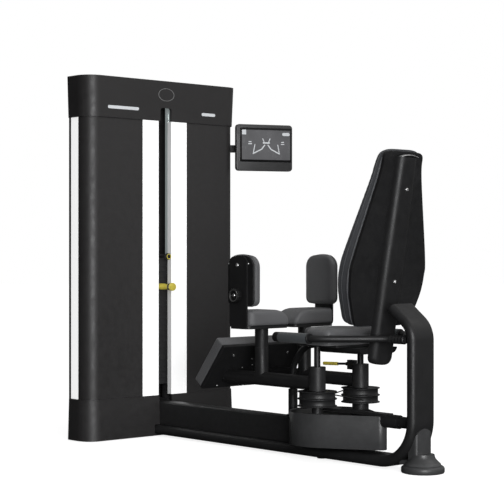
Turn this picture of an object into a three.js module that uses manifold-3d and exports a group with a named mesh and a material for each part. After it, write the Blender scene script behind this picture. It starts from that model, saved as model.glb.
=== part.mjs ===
// Hip abductor machine: weight-stack tower, C-shaped main frame, seat, and two
// swinging leg arms with pads.  Millimetres, +Z up.  +X runs from the tower to
// the seat, and the user sits facing -X.  "left" is the -Y side.
import * as THREE from "three";
import { mergeVertices } from "three/addons/utils/BufferGeometryUtils.js";
import Module from "manifold-3d";

const wasm = await Module();
wasm.setup();

// ---------------------------------------------------------------- dimensions
const GAP = 0.3;
const SLIVER = 0.01;

// tower: x = 0 is its wide front face while the pieces are drawn
const TOWER_DEPTH = 140;
const TOWER_HALF = 402;
const TOWER_HEIGHT = 1505;
const TOWER_CORNER = 62;
const TOWER_REAR_CORNER = 12;
const SHELL_WALL = 3;
const PLINTH_TOP = 172;
const HEADER_BOTTOM = 1335.5;
const SLOT_HALF = 34;
const HEADER_SLOT_HALF = 29.5;
const HEADER_SLOT_CORNER = 12;
const SLOT_TOP = 1391;
const STRIP_OUTER = 119;
const SIDE_STRIP_FRONT = -65.5;
const SIDE_STRIP_REAR = -118;
const BASE_PLATE_TOP = 10;
const TOP_PLATE_LOW = 1400;
const TOP_PLATE_HIGH = 1410;

// weight stack
const ROD_X = -76;
const ROD_Y = 77;
const ROD_RADIUS = 12.5;
const PLATE_FRONT = -36;
const PLATE_REAR = -116;
const PLATE_HALF = 150;
const PLATE_PITCH = 25.25;
const PLATES_RESTING = 16;
const PLATES_LIFTED = 4;
const STACK_BOTTOM = 215;
const HEAD_PLATE_HEIGHT = 50;
const STAND_TOP = 150;
const SELECTOR_RADIUS = 11;
const PIN_RADIUS = 5;

// cable and its two pulleys
const CABLE_RADIUS = 3;
const PULLEY_X = -100.5;
const PULLEY_GROOVE = 24.5;
const TOP_PULLEY_Z = 1350;
const BASE_PULLEY_Z = 135;

// main frame: flat-oval tube bent in the X-Z plane
const TUBE_WIDE = 122;
const TUBE_THICK = 40;
const TUBE_WALL = 3;
const RAIL_Z = 28;
const RAIL_TOP = RAIL_Z + TUBE_THICK / 2;
const RAIL_START = -7.7;
const UPRIGHT_X = 1452;
const LOWER_BEND = 155;
const UPPER_BEND = 85;
const UPPER_BEND_START = 465;
const UPPER_BEND_TURN = THREE.MathUtils.degToRad(53);
const HEAD_RUN = 130;
const FOOT_X = 1463.5;
const FOOT_RADIUS = 77;
const FOOT_HEIGHT = 27;
const SHOE_FRONT = 1380;
const SHOE_HALF = 42;
const SHOE_TOP = 156;
const GLIDE_X = 957;
const GLIDE_RADIUS = 20;

// cable cover, drum shroud and rear tube
const COVER_HALF = 33;
const COVER_HIGH = 146;
const COVER_SHEET = 3;
const DRUM_X = 1000;
const DRUM_RADIUS = 155;
const DRUM_TIP_X = 1255;
const DRUM_TIP_RADIUS = 26;
const DRUM_SHEET = 4;
const DRUM_LOW = 61;
const DRUM_HIGH = 184;
const REAR_TUBE_Z = 169;
const REAR_TUBE_RADIUS = 21;
const REAR_SLEEVE_RADIUS = 25;
const REAR_SLEEVE_END = 1354;
const LID_RIB_TOP = 195;

// arms
const HUB_X = 1046.6;
const ARM_Y = 114;
const HUB_RADIUS = 31.5;
const HUB_LOW = 267.3;
const HUB_HIGH = 356;
const AXLE_RADIUS = 12;
const BORE_RADIUS = 12.4;
const ARM_Z = 293.6;
const ARM_RADIUS = 26;
const POST_X = 740;
const POST_SEAM = 415;
const SPIGOT_RADIUS = 15;
const WHEEL_RADIUS = 74;
const WHEEL_LOW = 211;
const LEVER_TIP = 848;
const LEVER_X = 980;
const LEVER_Z = 352;

// pads and their carriers
const BOARD_TOP = [639, 413.4];
const BOARD_BOTTOM = [503.4, 242.8];
const BOARD_THICK = 60;
const BOARD_OUTER = 215.6;
const CARRIER_PLATE_LOW = 487;
const THIGH_LOW = 499;
const THIGH_HIGH = 560;
const PAD_INNER = 13;
const PAD_OUTER = 223;
const PAD_HALF_LENGTH = 65;
const PAD_X = 735;
const WING_INNER = 224.3;
const WING_OUTER = 229.3;
const WING_HALF = 50;
const WING_TOP = 762;
const KNEE_LOW = 572;
const KNEE_HIGH = 766;
const KNEE_INNER = 183;
const KNEE_FRONT = 665;
const KNEE_REAR = 820;
const KNOB_Z = 615;
const KNOB_RADIUS = 28;

// seat and backrest
const SEAT_FRONT = 940;
const SEAT_REAR = 1180;
const SEAT_LOW = 440;
const SEAT_HIGH = 501;
const SEAT_HALF = 188;
const SEAT_NOSE_HALF = 105;
const STRUT_X = 795;
const STRUT_RADIUS = 12;
const BACK_TILT = THREE.MathUtils.degToRad(10.1);
const BACK_X = 1329;
const BACK_Z = 676;
const SPINE_TOP = 446;
const SPINE_BOTTOM = -311;
const SPINE_DEPTH = 33;
const SPINE_SHEET = 4;
const SPINE_HALF_LOW = 55;
const SPINE_HALF_TOP = 46;
const BACK_BOARD = 12;
const BACK_CUSHION = 60;
const BACK_CUSHION_TOP = 32;
const BACK_TAPER_START = 60;
const BACK_CROWN = 470;

// handlebars
const BAR_Z = 468;
const GRIP_Y = 240;
const GRIP_FRONT = 954;
const GRIP_REAR = 1139;
const GRIP_RADIUS = 19;
const BAR_RADIUS = 12.5;

// display
const DISPLAY_CENTRE = [60, 512, 1242];
const DISPLAY_SIZE = [28, 264, 206];
const DISPLAY_TURN = THREE.MathUtils.degToRad(-22.2);
const SWIVEL = [22, 524];
const SWIVEL_LOW = 1225;
const SWIVEL_HIGH = 1257;

// ----------------------------------------------------------------- materials
function finish(color, roughness, metalness) {
  return new THREE.MeshStandardMaterial({ color, roughness, metalness });
}

const darkPlastic = finish(0x2b2b2d, 0.6, 0);
const powderCoat = finish(0x1d1d1f, 0.5, 0.3);
const whiteGloss = finish(0xf4f4f2, 0.15, 0);
const chrome = finish(0xd8dadc, 0.15, 1);
const castIron = finish(0x242426, 0.7, 0.6);
const rubber = finish(0x151516, 0.9, 0);
const upholstery = finish(0x3b3c3f, 0.65, 0);
const yellow = finish(0xf2c21a, 0.4, 0);
const steel = finish(0x55585c, 0.45, 0.9);

// ------------------------------------------------------------ solid geometry
function toSolid(geometry) {
  const bare = geometry.clone();
  bare.deleteAttribute("normal");
  bare.deleteAttribute("uv");
  const merged = mergeVertices(bare, 1e-4);
  return new wasm.Manifold(
    new wasm.Mesh({
      numProp: 3,
      vertProperties: Float32Array.from(merged.attributes.position.array),
      triVerts: Uint32Array.from(merged.index.array),
    }),
  );
}

// The solid as a geometry, without the slivers that cutting leaves.
function toGeometry(solid) {
  const mesh = solid.simplify(SLIVER).getMesh();
  const geometry = new THREE.BufferGeometry();
  geometry.setAttribute("position", new THREE.BufferAttribute(mesh.vertProperties, 3));
  geometry.setIndex(new THREE.BufferAttribute(mesh.triVerts, 1));
  return geometry;
}

function cut(base, ...tools) {
  return toGeometry(tools.reduce((solid, tool) => solid.subtract(toSolid(tool)), toSolid(base)));
}

function join(first, ...others) {
  return toGeometry(others.reduce((solid, other) => solid.add(toSolid(other)), toSolid(first)));
}

function overlap(first, second) {
  return toGeometry(toSolid(first).intersect(toSolid(second)));
}

function block([x0, x1], [y0, y1], [z0, z1]) {
  const geometry = new THREE.BoxGeometry(x1 - x0, y1 - y0, z1 - z0);
  return geometry.translate((x0 + x1) / 2, (y0 + y1) / 2, (z0 + z1) / 2);
}

function extrude(shape, depth, curveSegments) {
  return new THREE.ExtrudeGeometry(shape, { depth, curveSegments, bevelEnabled: false });
}

// A shape drawn in X-Y, standing from z0 to z1.
function prismZ(shape, z0, z1, curveSegments = 8) {
  return extrude(shape, z1 - z0, curveSegments).translate(0, 0, z0);
}

// A shape drawn in X-Z, running across from y0 to y1.
function prismY(shape, y0, y1, curveSegments = 8) {
  return extrude(shape, y1 - y0, curveSegments).rotateX(Math.PI / 2).translate(0, y1, 0);
}

// A shape drawn in Y-Z, running along from x0 to x1.
function prismX(shape, x0, x1, curveSegments = 8) {
  const turn = new THREE.Matrix4().makeBasis(
    new THREE.Vector3(0, 1, 0),
    new THREE.Vector3(0, 0, 1),
    new THREE.Vector3(1, 0, 0),
  );
  return extrude(shape, x1 - x0, curveSegments).applyMatrix4(turn).translate(x0, 0, 0);
}

function rod(from, to, radius, segments = 24) {
  const start = new THREE.Vector3(...from);
  const run = new THREE.Vector3(...to).sub(start);
  const geometry = new THREE.CylinderGeometry(radius, radius, run.length(), segments);
  geometry.translate(0, run.length() / 2, 0);
  const up = new THREE.Vector3(0, 1, 0);
  geometry.applyQuaternion(new THREE.Quaternion().setFromUnitVectors(up, run.normalize()));
  return geometry.translate(...from);
}

// A profile of [radius, height] points turned about a vertical axis at (x, y).
function turned(profile, x, y, segments = 32) {
  const points = profile.map(([radius, height]) => new THREE.Vector2(radius, height));
  return new THREE.LatheGeometry(points, segments).rotateX(Math.PI / 2).translate(x, y, 0);
}

function polygon(points) {
  return new THREE.Shape(points.map(([x, y]) => new THREE.Vector2(x, y)));
}

// A rectangle with one corner radius at its low-x side and one at its high-x side.
function roundedRect([x0, x1], [y0, y1], lowRadius, highRadius = lowRadius) {
  const quarter = Math.PI / 2;
  const shape = new THREE.Shape();
  shape.absarc(x1 - highRadius, y0 + highRadius, highRadius, -quarter, 0);
  shape.absarc(x1 - highRadius, y1 - highRadius, highRadius, 0, quarter);
  shape.absarc(x0 + lowRadius, y1 - lowRadius, lowRadius, quarter, 2 * quarter);
  shape.absarc(x0 + lowRadius, y0 + lowRadius, lowRadius, 2 * quarter, 3 * quarter);
  return shape;
}

// Both ends of a span on one side of the machine, lowest first.
function span(side, inner, outer) {
  return side > 0 ? [inner, outer] : [-outer, -inner];
}

// A curve that an extrusion follows point by point.
class PointPath extends THREE.Curve {
  constructor(points) {
    super();
    this.points = points;
  }

  getPoint(t, target = new THREE.Vector3()) {
    return target.copy(this.points[Math.round(t * (this.points.length - 1))]);
  }

  getPointAt(u, target) {
    return this.getPoint(u, target);
  }

  getTangentAt(u, target = new THREE.Vector3()) {
    const last = this.points.length - 1;
    const index = Math.round(u * last);
    const ahead = this.points[Math.min(index + 1, last)];
    return target.copy(ahead).sub(this.points[Math.max(index - 1, 0)]).normalize();
  }
}

function sweep(shape, points, curveSegments = 6) {
  return new THREE.ExtrudeGeometry(shape, {
    steps: points.length - 1,
    extrudePath: new PointPath(points),
    curveSegments,
    bevelEnabled: false,
  });
}

function circle(radius) {
  return new THREE.Shape().absarc(0, 0, radius, 0, 2 * Math.PI);
}

// Points of an arc in the X-Z plane; angles run from +X towards +Z.
function arcPoints([cx, cz], radius, from, to, steps) {
  const points = [];
  for (let i = 0; i <= steps; i += 1) {
    const angle = from + ((to - from) * i) / steps;
    points.push(new THREE.Vector3(cx + radius * Math.cos(angle), 0, cz + radius * Math.sin(angle)));
  }
  return points;
}

// ------------------------------------------------------------------ assembly
const machine = new THREE.Group();
const sideName = (side) => (side < 0 ? "left" : "right");

function add(name, geometry, material) {
  const mesh = new THREE.Mesh(geometry, material.clone());
  mesh.name = name;
  machine.add(mesh);
  return mesh;
}

// --------------------------------------------------------------------- tower
// The tower's outline, standing proud by grow at its front and sides; its rear face stays flat.
function towerPlan(grow) {
  return roundedRect(
    [-TOWER_DEPTH - Math.min(grow, 0), grow],
    [-TOWER_HALF - grow, TOWER_HALF + grow],
    TOWER_REAR_CORNER + grow,
    TOWER_CORNER + grow,
  );
}

// The tower's outline between two heights, standing proud by a different amount at each end.
function flared(z0, z1, growLow, growHigh) {
  const geometry = prismZ(towerPlan(growLow), z0, z1);
  const position = geometry.attributes.position;
  const more = growHigh - growLow;
  for (let i = 0; i < position.count; i += 1) {
    const part = (position.getZ(i) - z0) / (z1 - z0);
    const fromRear = position.getX(i) + TOWER_DEPTH;
    position.setX(i, fromRear * (1 + (part * more) / (TOWER_DEPTH + growLow)) - TOWER_DEPTH);
    position.setY(i, position.getY(i) * (1 + (part * more) / (TOWER_HALF + growLow)));
  }
  return geometry;
}

// An opening through the tower's front face only.
function frontOpening(half, top, corner) {
  return prismX(roundedRect([-half, half], [-5 - corner, top], corner), -30, 40);
}

function addTowerCovers() {
  const plinth = flared(3, PLINTH_TOP, 10, 5);
  const plinthCore = prismZ(towerPlan(-SHELL_WALL), 0, PLINTH_TOP + 1);
  const coverDoor = block([-30, 40], [-SLOT_HALF, SLOT_HALF], [-5, PLINTH_TOP + 5]);
  const tubeDoor = block([-30, 40], [-TUBE_WIDE / 2 - 1, TUBE_WIDE / 2 + 1], [-5, RAIL_TOP + 1]);
  add("plinth_cover", cut(plinth, plinthCore, coverDoor, tubeDoor), darkPlastic);

  const header = flared(HEADER_BOTTOM, TOWER_HEIGHT, 6, 11.5);
  const headerCore = prismZ(towerPlan(-SHELL_WALL), HEADER_BOTTOM - 1, TOWER_HEIGHT - 5);
  const slot = frontOpening(HEADER_SLOT_HALF, SLOT_TOP, HEADER_SLOT_CORNER);
  add("header_cover", cut(header, headerCore, slot), darkPlastic);
}

function addTowerShells() {
  const low = PLINTH_TOP + GAP;
  const high = HEADER_BOTTOM - GAP;
  const wall = cut(
    prismZ(towerPlan(0), low, high),
    prismZ(towerPlan(-SHELL_WALL), low - 1, high + 1),
  );
  const reach = [low - 1, high + 1];
  const outside = TOWER_HALF + 5;
  for (const side of [-1, 1]) {
    const name = sideName(side);
    const shellSpan = span(side, STRIP_OUTER + GAP, outside);
    const shellBox = block([SIDE_STRIP_FRONT + GAP, 5], shellSpan, reach);
    add(`front_shell_${name}`, overlap(wall, shellBox), darkPlastic);
    const stripDepth = [SIDE_STRIP_REAR + GAP, SIDE_STRIP_FRONT];
    const stripBox = block(stripDepth, span(side, 200, outside), reach);
    add(`side_strip_${name}`, overlap(wall, stripBox), whiteGloss);
    const face = block([-SHELL_WALL, 0], span(side, SLOT_HALF, STRIP_OUTER), [low, high]);
    const lip = block([-25, 0], span(side, SLOT_HALF, SLOT_HALF + SHELL_WALL), [low, high]);
    add(`front_strip_${name}`, join(face, lip), whiteGloss);
  }
  const rearBox = block([-TOWER_DEPTH - 5, SIDE_STRIP_REAR], [-outside, outside], reach);
  add("rear_cover", overlap(wall, rearBox), darkPlastic);
}

function pulleyBracket(z, plateLow, plateHigh) {
  const heights = [Math.min(z - 14, plateLow), Math.max(z + 14, plateHigh)];
  const cheeks = [-1, 1].map((side) =>
    block([PULLEY_X - 14, PULLEY_X + 14], span(side, 9, 14), heights),
  );
  return join(...cheeks, rod([PULLEY_X, -14, z], [PULLEY_X, 14, z], 6, 16));
}

function addTowerFrame() {
  const basePlate = prismZ(towerPlan(-8), 0, BASE_PLATE_TOP);
  const standHeights = [BASE_PLATE_TOP - 1, STAND_TOP];
  const stands = [-1, 1].map((side) =>
    block([ROD_X - 24, ROD_X + 24], span(side, ROD_Y - 24, ROD_Y + 24), standHeights),
  );
  const sockets = [-1, 1].map((side) => {
    const y = side * ROD_Y;
    return rod([ROD_X, y, BASE_PLATE_TOP], [ROD_X, y, STAND_TOP + 1], ROD_RADIUS + GAP);
  });
  const baseBracket = pulleyBracket(BASE_PULLEY_Z, BASE_PLATE_TOP - 1, BASE_PLATE_TOP);
  const base = join(basePlate, ...stands, baseBracket);
  add("base_plate", cut(base, ...sockets), steel);

  const topPlate = block([-130, -20], [-330, 330], [TOP_PLATE_LOW, TOP_PLATE_HIGH]);
  const uprights = [-1, 1].map((side) => {
    const heights = [BASE_PLATE_TOP + GAP, TOP_PLATE_LOW + 1];
    const outer = block([-120, -60], span(side, 290, 330), heights);
    const inner = block([-116, -64], span(side, 280, 326), [0, TOP_PLATE_LOW - 1]);
    return cut(outer, inner);
  });
  const topBracket = pulleyBracket(TOP_PULLEY_Z, TOP_PLATE_LOW, TOP_PLATE_LOW + 1);
  add("tower_frame", join(topPlate, ...uprights, topBracket), powderCoat);
}

function grooveProfile(bore, groove, rim, half) {
  return [
    [bore, -half],
    [rim, -half],
    [rim, -half + 1.5],
    [groove, -2],
    [groove, 2],
    [rim, half - 1.5],
    [rim, half],
    [bore, half],
    [bore, -half],
  ];
}

function addCablePulleys() {
  const profile = grooveProfile(6.4, PULLEY_GROOVE - CABLE_RADIUS - GAP - 0.4, 28, 8);
  for (const [name, z] of [["top_pulley", TOP_PULLEY_Z], ["base_pulley", BASE_PULLEY_Z]]) {
    const wheel = turned(profile, 0, 0, 24).rotateX(Math.PI / 2).translate(PULLEY_X, 0, z);
    add(name, wheel, darkPlastic);
  }
}

function addCable() {
  const quarter = Math.PI / 2;
  const up = new THREE.Vector3(PULLEY_X + PULLEY_GROOVE, 0, stackTop() + GAP);
  const over = arcPoints([PULLEY_X, TOP_PULLEY_Z], PULLEY_GROOVE, 0, 2 * quarter, 8);
  const under = arcPoints([PULLEY_X, BASE_PULLEY_Z], PULLEY_GROOVE, 2 * quarter, 3 * quarter, 4);
  const out = new THREE.Vector3(DRUM_X - DRUM_RADIUS + 35, 0, BASE_PULLEY_Z - PULLEY_GROOVE);
  add("lift_cable", sweep(circle(CABLE_RADIUS), [up, ...over, ...under, out], 2), rubber);
}

// --------------------------------------------------------------- weight stack
function pinHeight() {
  return STACK_BOTTOM + (PLATES_RESTING + 0.5) * PLATE_PITCH;
}

function stackTop() {
  return STACK_BOTTOM + (PLATES_RESTING + PLATES_LIFTED) * PLATE_PITCH + HEAD_PLATE_HEIGHT;
}

// Several plates with a shallow groove between each two.
function platePile(z0, count) {
  const groove = 1.2;
  const points = [[PLATE_REAR, z0], [PLATE_FRONT, z0]];
  for (let i = 1; i < count; i += 1) {
    const z = z0 + i * PLATE_PITCH;
    points.push([PLATE_FRONT, z - groove], [PLATE_FRONT - groove, z], [PLATE_FRONT, z + groove]);
  }
  const top = z0 + count * PLATE_PITCH - GAP;
  points.push([PLATE_FRONT, top], [PLATE_REAR, top]);
  return prismY(polygon(points), -PLATE_HALF, PLATE_HALF);
}

function rodHoles(z0, z1) {
  return [-1, 1].map((side) =>
    rod([ROD_X, side * ROD_Y, z0], [ROD_X, side * ROD_Y, z1], ROD_RADIUS + 1.2),
  );
}

function addStack() {
  const resting = platePile(STACK_BOTTOM, PLATES_RESTING);
  const liftedLow = STACK_BOTTOM + PLATES_RESTING * PLATE_PITCH;
  const headLow = liftedLow + PLATES_LIFTED * PLATE_PITCH;
  const core = rod([ROD_X, 0, 0], [ROD_X, 0, headLow], SELECTOR_RADIUS + 2);
  const pinZ = pinHeight();
  const pinHole = rod([PLATE_REAR + 20, 0, pinZ], [0, 0, pinZ], PIN_RADIUS + 0.6, 16);
  const holes = rodHoles(0, stackTop() + 1);
  add("resting_plates", cut(resting, core, ...holes), castIron);

  const lifted = platePile(liftedLow, PLATES_LIFTED);
  add("lifted_plates", cut(lifted, core, pinHole, ...holes), castIron);

  const selector = rod([ROD_X, 0, STACK_BOTTOM + 6], [ROD_X, 0, headLow - GAP], SELECTOR_RADIUS);
  add("selector_rod", cut(selector, pinHole), chrome);

  const headHeights = [headLow, stackTop()];
  const headBlock = block([PLATE_REAR, PLATE_FRONT], [-PLATE_HALF, PLATE_HALF], headHeights);
  add("head_plate", cut(headBlock, ...holes), castIron);

  const knobZ = stackTop() - 10;
  const knobStem = rod([PLATE_FRONT + GAP, 0, knobZ], [14, 0, knobZ], 6, 16);
  const knobHead = rod([12, 0, knobZ], [28, 0, knobZ], 14, 24);
  add("head_plate_knob", join(knobStem, knobHead), yellow);

  const pinShaft = rod([PLATE_REAR + 24, 0, pinZ], [0, 0, pinZ], PIN_RADIUS, 16);
  const pinSleeve = rod([PLATE_FRONT + 1, 0, pinZ], [30, 0, pinZ], 13, 24);
  const pinHead = rod([28, 0, pinZ], [58, 0, pinZ], 17, 24);
  add("selector_pin", join(pinShaft, pinSleeve, pinHead), yellow);
}

function addGuides() {
  for (const side of [-1, 1]) {
    const name = sideName(side);
    const y = side * ROD_Y;
    const rodLow = [ROD_X, y, BASE_PLATE_TOP + GAP];
    add(`guide_rod_${name}`, rod(rodLow, [ROD_X, y, TOP_PLATE_LOW - GAP], ROD_RADIUS), chrome);
    const ring = rod([ROD_X, y, STAND_TOP + GAP], [ROD_X, y, STACK_BOTTOM - GAP], 27);
    const hole = rod([ROD_X, y, STAND_TOP], [ROD_X, y, STACK_BOTTOM], ROD_RADIUS + 1);
    add(`bumper_${name}`, cut(ring, hole), rubber);
  }
}

// ---------------------------------------------------------------- main frame
function ovalTube(grow) {
  const thick = TUBE_THICK / 2 + grow;
  const wide = TUBE_WIDE / 2 + grow;
  const shape = new THREE.Shape();
  shape.absarc(0, wide - thick, thick, 0, Math.PI);
  shape.absarc(0, thick - wide, thick, Math.PI, 2 * Math.PI);
  return shape;
}

function frameLine() {
  const quarter = Math.PI / 2;
  const lowerCentre = [UPRIGHT_X - LOWER_BEND, RAIL_Z + LOWER_BEND];
  const lower = arcPoints(lowerCentre, LOWER_BEND, -quarter, 0, 10);
  const centre = [UPRIGHT_X - UPPER_BEND, UPPER_BEND_START];
  const upper = arcPoints(centre, UPPER_BEND, 0, UPPER_BEND_TURN, 7);
  const end = upper[upper.length - 1].clone();
  end.x -= HEAD_RUN * Math.sin(UPPER_BEND_TURN);
  end.z += HEAD_RUN * Math.cos(UPPER_BEND_TURN);
  return [new THREE.Vector3(RAIL_START, 0, RAIL_Z), ...lower, ...upper, end];
}

// A point given in the backrest's own frame: up the back, across, and forward of its rear plane.
function backPlace(geometry) {
  const up = new THREE.Vector3(Math.sin(BACK_TILT), 0, Math.cos(BACK_TILT));
  const across = new THREE.Vector3(0, 1, 0);
  const forward = new THREE.Vector3().crossVectors(up, across);
  const frame = new THREE.Matrix4().makeBasis(up, across, forward);
  return geometry.applyMatrix4(frame).translate(BACK_X, 0, BACK_Z);
}

function addMainFrame() {
  const tube = cut(sweep(ovalTube(0), frameLine()), sweep(ovalTube(-TUBE_WALL), frameLine()));
  const beyond = backPlace(block([-400, 300], [-200, 200], [-GAP, 300]));
  add("main_frame", cut(tube, beyond), powderCoat);
}

function addFeet() {
  const padProfile = [
    [0, 0],
    [FOOT_RADIUS - 5, 0],
    [FOOT_RADIUS, 5],
    [FOOT_RADIUS, FOOT_HEIGHT - 5],
    [FOOT_RADIUS - 6, FOOT_HEIGHT],
    [0, FOOT_HEIGHT],
  ];
  add("foot_pad", turned(padProfile, FOOT_X, 0, 40), darkPlastic);

  const low = FOOT_HEIGHT + GAP;
  const flangeProfile = [
    [0, low],
    [66, low],
    [62, low + 8],
    [46, low + 18],
    [0, low + 18],
  ];
  const flange = turned(flangeProfile, FOOT_X, 0, 32);
  const rear = UPRIGHT_X + TUBE_THICK / 2;
  const columnPlan = roundedRect([SHOE_FRONT, rear], [-SHOE_HALF, SHOE_HALF], 12, 14);
  const archFace = roundedRect([-SHOE_HALF - 1, SHOE_HALF + 1], [-60, SHOE_TOP], SHOE_HALF);
  const column = prismZ(columnPlan, low, SHOE_TOP + 1);
  const post = overlap(column, prismX(archFace, SHOE_FRONT - 1, rear + 1));
  const tube = sweep(ovalTube(0.5), frameLine());
  const hollow = block([1100, UPRIGHT_X - 20], [-100, 100], [RAIL_Z + 15, 400]);
  add("foot_shoe", largest(cut(join(flange, post), tube, hollow, innerBend())), darkPlastic);

  const glide = rod([GLIDE_X, 0, 0], [GLIDE_X, 0, RAIL_Z - TUBE_THICK / 2 - GAP], GLIDE_RADIUS);
  add("rail_glide", glide, rubber);
}

// Everything inside the lower bend, so that nothing is left on the tube's inner side.
function innerBend() {
  const centre = [UPRIGHT_X - LOWER_BEND, RAIL_Z + LOWER_BEND];
  return rod([centre[0], -100, centre[1]], [centre[0], 100, centre[1]], LOWER_BEND, 48);
}

// The biggest body left after a cut.
function largest(geometry) {
  const parts = toSolid(geometry).decompose();
  parts.sort((a, b) => b.volume() - a.volume());
  return toGeometry(parts[0]);
}

// The drum shroud's outline: a round front drawn in to a narrow tip around the rear tube.
function drumPlan(inset) {
  const turn = Math.acos((DRUM_RADIUS - DRUM_TIP_RADIUS) / (DRUM_TIP_X - DRUM_X));
  const plan = new THREE.Shape();
  plan.absarc(DRUM_X, 0, DRUM_RADIUS - inset, turn, 2 * Math.PI - turn);
  plan.absarc(DRUM_TIP_X, 0, DRUM_TIP_RADIUS - inset, -turn, turn);
  return plan;
}

function addCableCover() {
  const low = RAIL_TOP + GAP;
  const end = DRUM_X - DRUM_RADIUS + 20;
  const half = COVER_HALF;
  const sheet = COVER_SHEET;
  const outer = block([-30, end], [-half, half], [low, COVER_HIGH]);
  const inner = block([-31, end + 1], [sheet - half, half - sheet], [low + sheet, COVER_HIGH - sheet]);
  add("cable_cover", cut(outer, inner), powderCoat);
}

function addDrumShroud() {
  const shell = prismZ(drumPlan(0), DRUM_LOW, DRUM_HIGH, 16);
  const hollow = prismZ(drumPlan(DRUM_SHEET), DRUM_LOW - 1, DRUM_HIGH - DRUM_SHEET, 16);
  const half = COVER_HALF + GAP;
  const doorway = block([0, DRUM_X - 100], [-half, half], [0, COVER_HIGH + GAP]);
  add("drum_shroud", cut(shell, hollow, doorway), powderCoat);
}

function addRearTube() {
  const start = DRUM_TIP_X + DRUM_TIP_RADIUS + GAP;
  const end = UPRIGHT_X - TUBE_THICK / 2 - GAP;
  const at = (x) => [x, 0, REAR_TUBE_Z];
  const tube = rod(at(start), at(end), REAR_TUBE_RADIUS);
  const sleeve = rod(at(start), at(REAR_SLEEVE_END), REAR_SLEEVE_RADIUS);
  const rib = block([HUB_X - 95, start + 20], [-22, 22], [DRUM_HIGH + GAP, LID_RIB_TOP]);
  const bore = rod(at(start - 1), at(end + 1), REAR_TUBE_RADIUS - 3);
  const upright = sweep(ovalTube(GAP), frameLine());
  add("rear_tube", cut(join(tube, sleeve, rib), bore, upright), powderCoat);
}

// ------------------------------------------------------------ seat and back
function addSeat() {
  const shoulder = 1080;
  const half = SEAT_HALF - 25;
  const nose = SEAT_NOSE_HALF;
  const noseEnd = SEAT_FRONT + 40;
  const plan = new THREE.Shape();
  plan.moveTo(SEAT_REAR, -half);
  plan.lineTo(SEAT_REAR, half);
  plan.quadraticCurveTo(SEAT_REAR, SEAT_HALF, SEAT_REAR - 30, SEAT_HALF);
  plan.lineTo(shoulder, SEAT_HALF);
  plan.bezierCurveTo(shoulder - 50, SEAT_HALF, noseEnd + 30, nose, noseEnd, nose);
  plan.quadraticCurveTo(SEAT_FRONT, nose, SEAT_FRONT, nose - 40);
  plan.lineTo(SEAT_FRONT, 40 - nose);
  plan.quadraticCurveTo(SEAT_FRONT, -nose, noseEnd, -nose);
  plan.bezierCurveTo(noseEnd + 30, -nose, shoulder - 50, -SEAT_HALF, shoulder, -SEAT_HALF);
  plan.lineTo(SEAT_REAR - 30, -SEAT_HALF);
  plan.quadraticCurveTo(SEAT_REAR, -SEAT_HALF, SEAT_REAR, -half);
  add("seat_cushion", prismZ(plan, SEAT_LOW, SEAT_HIGH, 6), upholstery);

  const panTop = SEAT_LOW - GAP;
  const pan = block([SEAT_FRONT + 20, SEAT_REAR - 10], [-135, 135], [panTop - 8, panTop]);
  const beam = block([1030, 1300], [-98, 98], [409, panTop - 7]);
  const hollow = block([1034, 1301], [-94, 94], [413, panTop - 12]);
  const spine = backPlace(block([-400, 300], [-200, 200], [-100, SPINE_DEPTH + GAP]));
  add("seat_frame", cut(join(pan, beam), hollow, spine), powderCoat);
}

function addStrut() {
  const x = STRUT_X;
  const low = COVER_HIGH + GAP;
  const line = new THREE.CatmullRomCurve3([
    new THREE.Vector3(x, 0, low + 5),
    new THREE.Vector3(x, 0, 250),
    new THREE.Vector3(x + 3, 0, 325),
    new THREE.Vector3(x + 29, 0, 376),
    new THREE.Vector3(x + 88, 0, 409),
    new THREE.Vector3(x + 165, 0, 418.5),
  ]).getPoints(15);
  const tube = sweep(circle(STRUT_RADIUS), line, 4);
  const socket = rod([x, 0, low], [x, 0, low + 105], STRUT_RADIUS + 6);
  const panFace = block([700, 1200], [-100, 100], [SEAT_LOW - 8 - 2 * GAP, 460]);
  add("seat_strut", cut(join(tube, socket), panFace), powderCoat);
}

// The spine's U-section, tapering from its wide foot to its top.
function spineChannel() {
  const half = SPINE_HALF_LOW;
  const sheet = SPINE_SHEET;
  const outer = block([SPINE_BOTTOM, SPINE_TOP], [-half, half], [0, SPINE_DEPTH]);
  const length = [SPINE_BOTTOM - 1, SPINE_TOP + 1];
  const hollow = block(length, [sheet - half, half - sheet], [sheet, SPINE_DEPTH + 1]);
  const geometry = cut(outer, hollow);
  const position = geometry.attributes.position;
  for (let i = 0; i < position.count; i += 1) {
    const part = THREE.MathUtils.clamp(position.getX(i) / SPINE_TOP, 0, 1);
    const narrowing = THREE.MathUtils.lerp(1, SPINE_HALF_TOP / SPINE_HALF_LOW, part);
    position.setY(i, position.getY(i) * narrowing);
  }
  return geometry;
}

// Half-widths of the backrest at heights up its own plane.
const BACK_OUTLINE = [
  [-178, 148],
  [-60, 190],
  [10, 199],
  [80, 192],
  [365, 117],
  [440, 108],
];

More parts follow.
